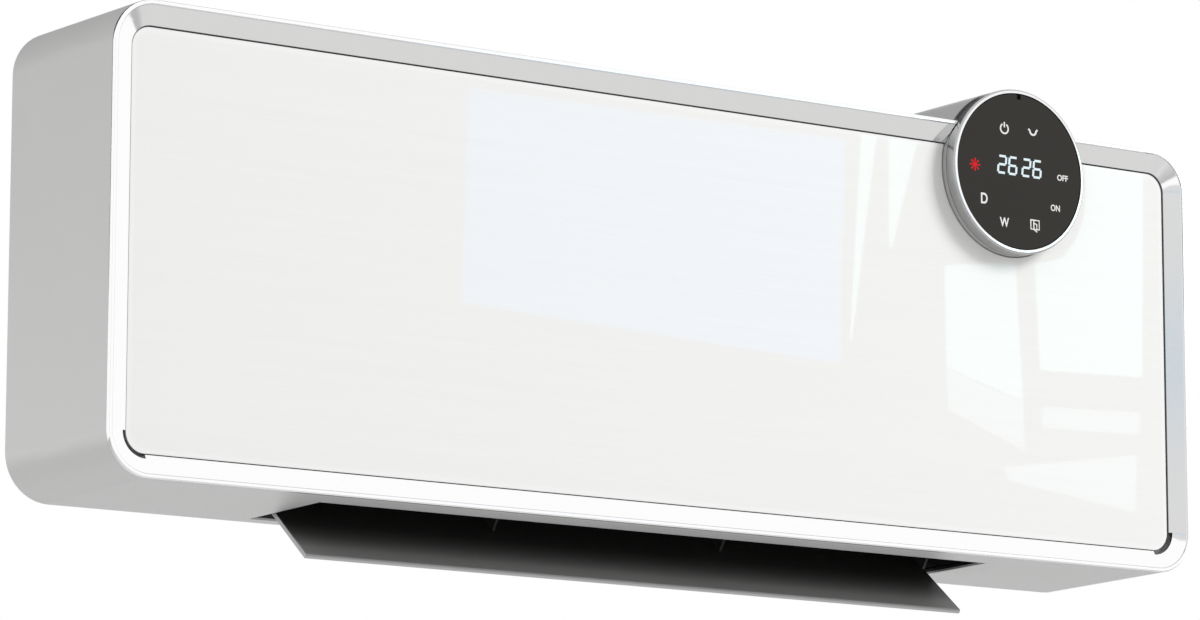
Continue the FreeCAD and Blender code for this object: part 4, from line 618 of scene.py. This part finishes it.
# %% Finish of every slot
SILVER = (0.605, 0.605, 0.600)
FINISHES = {
    "shell_silver": satin_silver("shell_silver", SILVER),
    # The control housing's silver is darker than the case's: painted shade for its shaded barrel and hump.
    "control_silver": housing_paint("control_silver", grey(0.49)),
    "bezel_silver": bezel_plating("bezel_silver", grey(0.985), 0.08),
    "ring_chrome": ring_plating("ring_chrome", (0.93, 0.93, 0.935), 0.05),
    "front_glass": brushed_panel("front_glass"),
    "control_glass": dark_glass("control_glass"),
    "inner_grey": moulded("inner_grey", grey(0.22)),
    "duct_black": moulded("duct_black", grey(0.012)),
    "flap_black": flap_finish("flap_black", shade(SILVER, 0.8)),
    "wheel_black": moulded("wheel_black", (0.014, 0.014, 0.016), grain=2.0),
    "switch_black": moulded("switch_black", grey(0.010), depth=0.008, roughness=0.25),
    "heater_plastic": moulded("heater_plastic", (0.52, 0.47, 0.37)),
    "relay_blue": moulded("relay_blue", (0.02, 0.06, 0.26), depth=0.005, roughness=0.35),
    "filter_grey": moulded("filter_grey", (0.055, 0.055, 0.06)),
    "rubber_black": moulded("rubber_black", grey(0.012), depth=0.03, roughness=0.75),
    "zinc_steel": zinc_plate("zinc_steel", (0.55, 0.56, 0.58)),
    "motor_metal": zinc_plate("motor_metal", (0.48, 0.49, 0.50)),
    "magnet_grey": ground_metal("magnet_grey", grey(0.20)),
    "steel": ground_metal("steel", grey(0.62)),
    "bronze": ground_metal("bronze", (0.55, 0.38, 0.20), stretch=(2.0, 2.0, 2.0), roughness=0.4),
    "fin_aluminium": ground_metal("fin_aluminium", (0.80, 0.80, 0.81), roughness=0.25),
    "board_green": circuit_board("board_green"),
}
for node, slot in slot_of.items():
    nodes[node].data.materials.clear()
    nodes[node].data.materials.append(FINISHES[slot])
print("finishes", len(FINISHES))

# %% [markdown]
# ## Rounded edges
# No moulded or stamped edge is perfectly sharp: it has a radius of a few tenths of a millimetre, and that
# radius is what draws a bright line along it. A shader could fake it, but a real bevel is part of the mesh
# itself. So the pieces that show are copied, their loose triangles are merged into whole faces, and
# every hard edge gets a small bevel. The copy stands for its node and keeps the node's outline. A Weighted
# Normal modifier then keeps the large faces flat. Where a face is full of slots or holes, its triangles
# stay, because merged into one face they would tear at the bevel.


# %% Pieces
def piece(name, mesh, body, slot, finish=None):
    """A finished mesh in place, as a piece that rides on a body and takes a slot's finish."""
    made = in_scene(name, mesh)
    mesh.materials.clear()
    mesh.materials.append(finish or FINISHES[slot])
    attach(made, body)
    return made


def baked(source):
    """The plain mesh that an object with modifiers gives, without the object."""
    bpy.context.view_layer.update()
    mesh = bpy.data.meshes.new_from_object(source.evaluated_get(bpy.context.evaluated_depsgraph_get()))
    bpy.data.objects.remove(source)
    return mesh


MERGE_DISTANCE = 0.002 * MM


def merged(node):
    """A copy of a CAD node's mesh with its loose triangles joined."""
    work = bmesh.new()
    work.from_mesh(nodes[node].data)
    bmesh.ops.remove_doubles(work, verts=work.verts, dist=MERGE_DISTANCE)
    return work


print("points merge within", MERGE_DISTANCE / MM)

# %% Rounded copies
FLAT_ANGLE, HARD_ANGLE = math.radians(0.3), math.radians(25)
BEVEL_SEGMENTS, BY_AREA = 2, 100


def rounded(node, radius_mm, finish, whole_faces):
    """Stands a copy of a CAD node in its place, with its hard edges rounded."""
    mesh = bpy.data.meshes.new(node)
    work = merged(node)
    if whole_faces:
        bmesh.ops.dissolve_limit(work, angle_limit=FLAT_ANGLE, verts=work.verts, edges=work.edges)
    for face in work.faces:
        face.smooth = True
    work.to_mesh(mesh)
    work.free()
    source = in_scene(node + "_source", mesh)
    bevel = source.modifiers.new("edges", "BEVEL")
    bevel.width = radius_mm * MM
    bevel.segments = BEVEL_SEGMENTS
    bevel.limit_method = "ANGLE"
    bevel.angle_limit = HARD_ANGLE
    bevel.miter_outer = "MITER_ARC"
    weighted = source.modifiers.new("normals", "WEIGHTED_NORMAL")
    weighted.keep_sharp = True
    weighted.weight = BY_AREA
    made = piece(node + "_rounded", baked(source), body_of[node], slot_of[node], finish)
    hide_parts(node)
    print(made.name, len(made.data.polygons), "faces")


EDGE_RADII_MM = {
    "body_shell": 0.4, "bezel_frame": 0.35, "glass_panel": 0.3, "outlet_flap": 0.25, "control_ring": 0.3,
    "control_housing": 0.4, "control_glass": 0.12, "intake_grille": 0.3,
    "wall_bracket": 0.25, "switch_housing": 0.3, "switch_rocker": 0.3, "cable_bush": 0.3,
}
PERFORATED = ("intake_grille", "body_shell")
OWN_FINISH = {"body_shell": shell_paint("shell_outside", SILVER)}
for node, radius in EDGE_RADII_MM.items():
    rounded(node, radius, OWN_FINISH.get(node), node not in PERFORATED)

# %% [markdown]
# ## Geometry Nodes as recipes
# What repeats is made by Geometry Nodes: a recipe is a tree with named sizes, which gets a few points or
# lines and returns solid shapes. Its last steps turn the instances into real faces and give them their
# finish, so that the mesh which comes out needs no modifier any more.


# %% Recipe
class Recipe(Tree):
    """A Geometry Nodes tree with named sizes and a material."""

    SOCKETS = {float: "NodeSocketFloat", int: "NodeSocketInt"}

    def __init__(self, name, **sizes):
        super().__init__(bpy.data.node_groups.new(name, "GeometryNodeTree"))
        sockets = self.tree.interface
        sockets.new_socket("Geometry", in_out="OUTPUT", socket_type="NodeSocketGeometry")
        sockets.new_socket("Geometry", in_out="INPUT", socket_type="NodeSocketGeometry")
        for size, value in sizes.items():
            made = sockets.new_socket(size, in_out="INPUT", socket_type=self.SOCKETS[type(value)])
            made.default_value = value
        sockets.new_socket("material", in_out="INPUT", socket_type="NodeSocketMaterial")
        self.start = self.node("NodeGroupInput", {}, out="Geometry")

    def size(self, name):
        return self.start.output(name)

    def vector(self, x=0.0, y=0.0, z=0.0):
        return self.node("ShaderNodeCombineXYZ", {}, x, y, z)

    def finish(self, geometry):
        """Ends the tree: real faces with the material."""
        real = self.node("GeometryNodeRealizeInstances", {}, geometry)
        painted = self.node("GeometryNodeSetMaterial", {}, Geometry=real, Material=self.size("material"))
        self.node("NodeGroupOutput", {}, painted)

    def make(self, points, edges=(), **values):
        """Runs the recipe on points and lines in metres, and returns a plain mesh."""
        start = bpy.data.meshes.new(self.tree.name)
        start.from_pydata(points, edges, [])
        source = in_scene(self.tree.name, start)
        modifier = source.modifiers.new("recipe", "NODES")
        modifier.node_group = self.tree
        for socket in self.tree.interface.items_tree:
            if socket.in_out == "INPUT" and socket.name in values:
                modifier[socket.identifier] = values[socket.name]
        return baked(source)


print("recipes can be written")

# %% [markdown]
# ## Print on the control
# The signs lie on the back of the smoked glass and shine through it: power, swing, heat, day and week timers,
# off and on delay, and window detection, round a display of four digits. Lines are ribbons that a recipe
# sweeps along them, letters are text made a mesh, and the heat sign is a disc with a ring of rays. A thin
# print on the face of the glass looks the same as one behind it, and it stays sharp from close by.

# %% Where the print goes
glass_low, glass_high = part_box("control_glass")
dial_middle = (glass_low + glass_high) / 2
PRINT_THICKNESS = 0.08 * MM
UPRIGHT = Matrix.Rotation(math.radians(90), 4, "X")
ON_DIAL = Matrix.Translation((dial_middle.x, glass_low.y - PRINT_THICKNESS / 2, dial_middle.z)) @ UPRIGHT


def lit(name, colour):
    """Print that is lit from behind."""
    ink = Finish(name, Base_Color=grey(0.02), Roughness=0.4, Specular_IOR_Level=0.0, Emission_Strength=1.0)
    unevenness = ink.noise(0.8, detail=1.0)
    ink.set(Emission_Color=ink.mix(unevenness, shade(colour, 0.92), colour))
    return ink.material


INKS = {
    "sign": lit("sign_white", (0.86, 0.86, 0.85)),
    "display": lit("display_white", (0.80, 0.95, 1.00)),
    "heat": lit("heat_red", (0.72, 0.004, 0.012)),
}
print("dial middle", [round(x, 4) for x in dial_middle])


# %% Ribbons
def ribbon_recipe():
    """Sweeps a flat rectangle along every line."""
    ribbon = Recipe("ribbon", width=0.7 * MM, thickness=PRINT_THICKNESS)
    line = ribbon.node("GeometryNodeMeshToCurve", {}, Mesh=ribbon.start)
    flat = ribbon.node("GeometryNodeSetCurveNormal", {"mode": "Z_UP"}, Curve=line)
    section = ribbon.node("GeometryNodeCurvePrimitiveQuadrilateral", {"mode": "RECTANGLE"},
                          Width=ribbon.size("width"), Height=ribbon.size("thickness"))
    ribbon.finish(ribbon.node("GeometryNodeCurveToMesh", {}, Curve=flat, Profile_Curve=section,
                              Fill_Caps=True))
    return ribbon


RIBBON = ribbon_recipe()


def strokes(name, lines, width_mm, ink):
    """Ribbons along lines that are given in millimetres from the dial's middle."""
    points = [(x * MM, y * MM, 0) for line in lines for x, y in line]
    edges = []
    first = 0
    for line in lines:
        edges += [(i, i + 1) for i in range(first, first + len(line) - 1)]
        first += len(line)
    mesh = RIBBON.make(points, edges, width=width_mm * MM, material=INKS[ink])
    mesh.transform(ON_DIAL)
    return piece(name, mesh, "case", "control_glass", INKS[ink])


ARC_STEPS = 20


def arc(x, y, radius, start, end):
    """Points on an arc, from one angle to another in degrees."""
    turns = [math.radians(start + (end - start) * i / ARC_STEPS) for i in range(ARC_STEPS + 1)]
    return [(x + radius * math.cos(turn), y + radius * math.sin(turn)) for turn in turns]


print("a ribbon is", round(PRINT_THICKNESS / MM, 2), "thick")

# %% Signs
POWER_STROKE, SWING_STROKE, WINDOW_STROKE = 0.78, 0.93, 0.68
POWER_X, POWER_Z, POWER_RADIUS = -9.0, 19.8, 2.35
POWER_BAR = ((POWER_X, 20.4), (POWER_X, 23.0))
power_ring = arc(POWER_X, POWER_Z, POWER_RADIUS, 120, 420)
power = strokes("power_sign", [power_ring, POWER_BAR], POWER_STROKE, "sign")
SWING_X, SWING_Z, SWING_RADIUS = 8.5, 20.6, 1.85
SWING_LEFT, SWING_RIGHT = (SWING_X - 2.8, 21.4), (SWING_X + 2.8, 21.4)
bowl = arc(SWING_X, SWING_Z, SWING_RADIUS, 180, 360)
swing = strokes("swing_sign", [[SWING_LEFT, *bowl, SWING_RIGHT]], SWING_STROKE, "sign")
WINDOW = ((6.5, -22.6), (11.6, -22.6), (11.6, -27.0), (6.5, -27.0), (6.5, -22.35))
LEAF = ((8.3, -22.6), (8.3, -24.0), (10.1, -24.6), (10.1, -28.2), (8.3, -27.0))
LEAF_HINGE = ((8.3, -23.8), (8.3, -27.0))
window = strokes("window_sign", [WINDOW, LEAF, LEAF_HINGE], WINDOW_STROKE, "sign")
print("signs", [round(o.dimensions.x / MM, 1) for o in (power, swing, window)])


# %% Heat sign
def sun_recipe():
    """A disc with a ring of rays round each point."""
    sun = Recipe("sun", rays=8, disc=1.3 * MM, ray_start=1.6 * MM, ray_end=3.1 * MM, width=0.75 * MM,
                 thickness=PRINT_THICKNESS)
    disc = sun.node("GeometryNodeMeshCylinder", {}, Vertices=24, Radius=sun.size("disc"),
                    Depth=sun.size("thickness"))
    length = sun.size("ray_end") - sun.size("ray_start")
    bar = sun.node("GeometryNodeMeshCube", {}, sun.vector(length, sun.size("width"), sun.size("thickness")))
    first_ray = sun.node("GeometryNodeTransform", {}, Geometry=bar,
                         Translation=sun.vector(sun.size("ray_start") + length / 2))
    seats = sun.node("GeometryNodePoints", {}, Count=sun.size("rays"))
    turn = sun.node("GeometryNodeInputIndex", {}) * (2 * math.pi) / sun.size("rays")
    rays = sun.node("GeometryNodeInstanceOnPoints", {}, Points=seats, Instance=first_ray,
                    Rotation=sun.vector(z=turn))
    both = sun.node("GeometryNodeJoinGeometry", {}, [rays, disc])
    sun.finish(sun.node("GeometryNodeInstanceOnPoints", {}, Points=sun.start, Instance=both))
    return sun


HEAT_X, HEAT_Z = -27.1, 0.4
heat_mesh = sun_recipe().make([(HEAT_X * MM, HEAT_Z * MM, 0)], material=INKS["heat"])
heat_mesh.transform(ON_DIAL)
heat = piece("heat_sign", heat_mesh, "case", "control_glass", INKS["heat"])
print("heat sign", round(heat.dimensions.x / MM, 1), "across")

# %% Digits
DIGIT_WIDTH, DIGIT_HEIGHT, DIGIT_SLANT = 4.5, 8.0, 0.09
DIGITS_X, DIGITS_Z = (-13.2, -6.7, 1.6, 8.2), -1.7
BAR_WIDTH, BAR_GAP = 1.1, 0.3
CORNERS = {"top_left": (0, 1), "top_right": (1, 1), "left": (0, 0.5), "right": (1, 0.5),
           "bottom_left": (0, 0), "bottom_right": (1, 0)}
BARS = {"2": (("top_left", "top_right"), ("top_right", "right"), ("left", "right"),
              ("left", "bottom_left"), ("bottom_left", "bottom_right")),
        "6": (("top_left", "top_right"), ("top_left", "left"), ("left", "right"), ("left", "bottom_left"),
              ("right", "bottom_right"), ("bottom_left", "bottom_right"))}


def bar_line(start, end, digit_x):
    """One bar of a digit, shortened at both ends and slanted with the digit."""
    ends = [Vector((CORNERS[corner][0] * DIGIT_WIDTH, CORNERS[corner][1] * DIGIT_HEIGHT))
            for corner in (start, end)]
    along = (ends[1] - ends[0]).normalized() * BAR_GAP
    return [(digit_x + p.x + DIGIT_SLANT * p.y, DIGITS_Z + p.y) for p in (ends[0] + along, ends[1] - along)]


digit_lines = [bar_line(start, end, x) for digit, x in zip("2626", DIGITS_X) for start, end in BARS[digit]]
strokes("display_digits", digit_lines, BAR_WIDTH, "display")
print("digit bars", len(digit_lines))

# %% Letters
LETTER_WEIGHT = 0.02


def lettering(name, text, middle_mm, width_mm, height_mm):
    """Upright letters that fill a box of this width and height about a point on the dial."""
    words = bpy.data.curves.new(name, "FONT")
    words.body = text
    words.extrude = PRINT_THICKNESS / 2
    words.offset = LETTER_WEIGHT
    mesh = baked(in_scene(name, words))
    low = [min(v.co[i] for v in mesh.vertices) for i in range(3)]
    high = [max(v.co[i] for v in mesh.vertices) for i in range(3)]
    fit_x = width_mm * MM / (high[0] - low[0])
    fit_y = height_mm * MM / (high[1] - low[1])
    mesh.transform(Matrix.Translation((-(low[0] + high[0]) / 2, -(low[1] + high[1]) / 2, 0)))
    mesh.transform(Matrix.Diagonal((fit_x, fit_y, 1, 1)))
    mesh.transform(ON_DIAL @ Matrix.Translation((middle_mm[0] * MM, middle_mm[1] * MM, 0)))
    piece(name, mesh, "case", "control_glass", INKS["sign"])


LETTERS = {"day_letter": ("D", (-21.7, -15.3), 4.0, 5.2), "week_letter": ("W", (-9.6, -25.5), 5.6, 4.5),
           "off_letters": ("OFF", (26.4, -0.2), 6.6, 2.9), "on_letters": ("ON", (21.7, -15.3), 5.6, 3.1)}
for name, (text, place, width, height) in LETTERS.items():
    lettering(name, text, place, width, height)
print("letters", len(LETTERS))

# %% [markdown]
# ## Screws, springs and gauze
# The frame's screws are plain studs with heads. A thread could be bump in a material, but here each screw
# gets real turns and a domed head with a cross recess, all from one recipe whose sizes are measured on the
# frame's own screw, so it sits in the same hole. The touch springs under the glass become real coils, and the
# dust filter gets the gauze that its ribs carry.


# %% Measuring the frame's solids
def solids_of(node):
    """The corners of each separate solid in a CAD node, as one list for each."""
    work = merged(node)
    left = set(work.verts)
    found = []
    while left:
        reached = {left.pop()}
        edge_of_search = list(reached)
        while edge_of_search:
            vertex = edge_of_search.pop()
            near = {edge.other_vert(vertex) for edge in vertex.link_edges} - reached
            reached |= near
            edge_of_search += near
        left -= reached
        found.append([vertex.co.copy() for vertex in reached])
    work.free()
    return sorted(found, key=lambda corners: tuple(round(x, 5) for x in min(corners, key=tuple)))


def box_of(corners):
    """Lowest and highest corner of some points."""
    low = Vector([min(c[i] for c in corners) for i in range(3)])
    high = Vector([max(c[i] for c in corners) for i in range(3)])
    return low, high


RIM_SHARE, TIP_SHARE = 0.98, 0.3


def measured_screw(corners):
    """Where a plain screw's head bears, which way it points and its sizes, from its corners."""
    low, high = box_of(corners)
    axis = max(range(3), key=lambda i: high[i] - low[i])
    centre = (low + high) / 2
    length = high[axis] - low[axis]

    def radius(corner):
        return math.hypot(*[corner[i] - centre[i] for i in range(3) if i != axis])

    head_radius = max(radius(c) for c in corners)
    head = [c[axis] for c in corners if radius(c) > RIM_SHARE * head_radius]
    head_is_low = sum(head) / len(head) < centre[axis]
    head_height = max(head) - low[axis] if head_is_low else high[axis] - min(head)
    tip_at = (high if head_is_low else low)[axis]
    tip = [c for c in corners if abs(c[axis] - tip_at) < TIP_SHARE * length]
    place = centre.copy()
    place[axis] = low[axis] + head_height if head_is_low else high[axis] - head_height
    pointing = Vector([0.0, 0.0, 0.0])
    pointing[axis] = 1.0 if head_is_low else -1.0
    return {"place": place, "pointing": pointing, "head_radius": head_radius, "head_height": head_height,
            "shank_radius": max(radius(c) for c in tip), "length": length - head_height}


SCREW_NODES = ("case_screws", "board_screws", "motor_screws")
found_screws = {node: [measured_screw(corners) for corners in solids_of(node)] for node in SCREW_NODES}
for node, (first, *_) in found_screws.items():
    print(node, {key: round(value / MM, 2) for key, value in first.items() if isinstance(value, float)},
          [round(x) for x in first["pointing"]])

# %% Screw recipe
ROD_SIDES, DOME_STEPS, SHANK_STEPS, HELIX_STEPS = 20, 7, 8, 12
CORE_SHARE, RIDGE_SHARE, THREADED_SHARE = 0.8, 0.2, 0.88
DOME_DROP, TIP_TAPER, RECESS_REACH, RECESS_SHARE = 0.55, 0.9, 1.2, 0.28


def rod(recipe, start_z, end_z, steps, radius_of):
    """A round rod along Z whose radius follows a rule of the way along it, from 0 to 1."""
    line = recipe.node("GeometryNodeCurvePrimitiveLine", {}, Start=recipe.vector(z=start_z),
                       End=recipe.vector(z=end_z))
    fine = recipe.node("GeometryNodeResampleCurve", {}, Curve=line, Count=steps)
    way = recipe.node("GeometryNodeSplineParameter", {}, out="Factor")
    circle = recipe.node("GeometryNodeCurvePrimitiveCircle", {}, Resolution=ROD_SIDES, Radius=1.0)
    return recipe.node("GeometryNodeCurveToMesh", {}, Curve=fine, Profile_Curve=circle,
                       Scale=radius_of(way), Fill_Caps=True)


def screw_recipe():
    """A domed head with a cross recess, and a threaded shank that points along +Z from the head."""
    screw = Recipe("screw", head_radius=3.0 * MM, head_height=2.0 * MM, shank_radius=1.5 * MM,
                   length=10.0 * MM, pitch=1.3 * MM, recess=0.8 * MM, turn_x=0.0, turn_y=0.0)
    head_radius, head_height = screw.size("head_radius"), screw.size("head_height")
    length, recess, core = screw.size("length"), screw.size("recess"), screw.size("shank_radius") * CORE_SHARE
    dome = rod(screw, head_height * -1.0, 0.0, DOME_STEPS,
               lambda way: head_radius * (1 - DOME_DROP * (1 - way) ** 3))
    reach = head_radius * RECESS_REACH
    bars = [screw.node("GeometryNodeMeshCube", {}, screw.vector(along_x, along_y, head_height * RECESS_REACH))
            for along_x, along_y in ((reach, recess), (recess, reach))]
    cross = [screw.node("GeometryNodeTransform", {}, Geometry=bar,
                        Translation=screw.vector(z=head_height * -1.0)) for bar in bars]
    head = screw.node("GeometryNodeMeshBoolean", {"operation": "DIFFERENCE", "solver": "EXACT"}, dome,
                      Mesh_2=cross)
    shank = rod(screw, 0.0, length, SHANK_STEPS, lambda way: core * (1 - TIP_TAPER * way ** 12))
    helix = screw.node("GeometryNodeCurveSpiral", {}, Resolution=HELIX_STEPS, Start_Radius=core,
                       End_Radius=core, Rotations=length / screw.size("pitch") * THREADED_SHARE,
                       Height=length * THREADED_SHARE)
    ridge = screw.node("GeometryNodeCurvePrimitiveCircle", {}, Resolution=3,
                       Radius=screw.size("shank_radius") * RIDGE_SHARE)
    thread = screw.node("GeometryNodeCurveToMesh", {}, Curve=helix, Profile_Curve=ridge, Fill_Caps=True)
    whole = screw.node("GeometryNodeJoinGeometry", {}, [head, shank, thread])
    screw.finish(screw.node("GeometryNodeInstanceOnPoints", {}, Points=screw.start, Instance=whole,
                            Rotation=screw.vector(screw.size("turn_x"), screw.size("turn_y"))))
    return screw


SCREW = screw_recipe()
print("a screw takes", len(SCREW.tree.nodes), "nodes")

# %% Screws in place
for node, found in found_screws.items():
    sizes = found[0]
    screw_mesh = SCREW.make([screw["place"] for screw in found], head_radius=sizes["head_radius"],
                            head_height=sizes["head_height"], shank_radius=sizes["shank_radius"],
                            length=sizes["length"], recess=sizes["head_radius"] * RECESS_SHARE,
                            turn_x=math.radians(-90 * sizes["pointing"].y),
                            turn_y=math.radians(90 * sizes["pointing"].x), material=FINISHES["steel"])
    threaded = piece(node + "_threaded", screw_mesh, body_of[node], slot_of[node])
    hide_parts(node)
    print(threaded.name, len(found), "screws", len(screw_mesh.polygons), "faces")


# %% Touch springs
def coil_recipe():
    """An open coil that stands along +Z from each point."""
    coil = Recipe("coil", radius=2.0 * MM, wire=0.25 * MM, height=3.0 * MM, turns=4.0, turn_x=0.0)
    spiral = coil.node("GeometryNodeCurveSpiral", {}, Resolution=16, Rotations=coil.size("turns"),
                       Start_Radius=coil.size("radius"), End_Radius=coil.size("radius"),
                       Height=coil.size("height"))
    section = coil.node("GeometryNodeCurvePrimitiveCircle", {}, Resolution=6, Radius=coil.size("wire"))
    spring = coil.node("GeometryNodeCurveToMesh", {}, Curve=spiral, Profile_Curve=section, Fill_Caps=True)
    coil.finish(coil.node("GeometryNodeInstanceOnPoints", {}, Points=coil.start, Instance=spring,
                          Rotation=coil.vector(coil.size("turn_x"))))
    return coil


SPRING_WIRE = 0.25 * MM
spring_boxes = [box_of(corners) for corners in solids_of("touch_springs")]
spring_low, spring_high = spring_boxes[0]
spring_feet = [((low.x + high.x) / 2, high.y - SPRING_WIRE, (low.z + high.z) / 2)
               for low, high in spring_boxes]
spring_mesh = coil_recipe().make(spring_feet, radius=(spring_high.x - spring_low.x) / 2 - SPRING_WIRE,
                                 wire=SPRING_WIRE, height=spring_high.y - spring_low.y - 2 * SPRING_WIRE,
                                 turn_x=math.radians(90), material=FINISHES["bronze"])
springs = piece("touch_coils", spring_mesh, "case", "bronze")
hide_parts("touch_springs")
print("springs", len(spring_feet))


# %% Filter gauze
def gauze_recipe():
    """Two crossing layers of straight wires over a rectangle about each point."""
    gauze = Recipe("gauze", span_x=100.0 * MM, span_y=50.0 * MM, pitch=2.0 * MM, wire=0.3 * MM)
    pitch, wire = gauze.size("pitch"), gauze.size("wire")
    layers = []
    for along, across, side in (("y", "x", 0.5), ("x", "y", -0.5)):
        spaces = gauze.size("span_" + across) / pitch
        count = spaces.maths("FLOOR", spaces)
        seats = gauze.node("GeometryNodeMeshLine", {}, Count=count, Offset=gauze.vector(**{across: pitch}),
                           Start_Location=gauze.vector(**{across: (count - 1) * pitch * -0.5}))
        bar = gauze.node("GeometryNodeMeshCube", {},
                         gauze.vector(**{along: gauze.size("span_" + along), across: wire, "z": wire}))
        layer = gauze.node("GeometryNodeInstanceOnPoints", {}, Points=seats, Instance=bar)
        layers.append(gauze.node("GeometryNodeTransform", {}, Geometry=layer,
                                 Translation=gauze.vector(z=wire * side)))
    both = gauze.node("GeometryNodeJoinGeometry", {}, layers)
    gauze.finish(gauze.node("GeometryNodeInstanceOnPoints", {}, Points=gauze.start, Instance=both))
    return gauze


FILTER_RIM = 2.0 * MM
filter_low, filter_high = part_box("dust_filter")
filter_span = filter_high - filter_low
gauze_mesh = gauze_recipe().make([(filter_low + filter_high) / 2], span_x=filter_span.x - 2 * FILTER_RIM,
                                 span_y=filter_span.y - 2 * FILTER_RIM, material=FINISHES["filter_grey"])
piece("filter_gauze", gauze_mesh, "case", "filter_grey")
print("gauze", len(gauze_mesh.polygons), "faces")
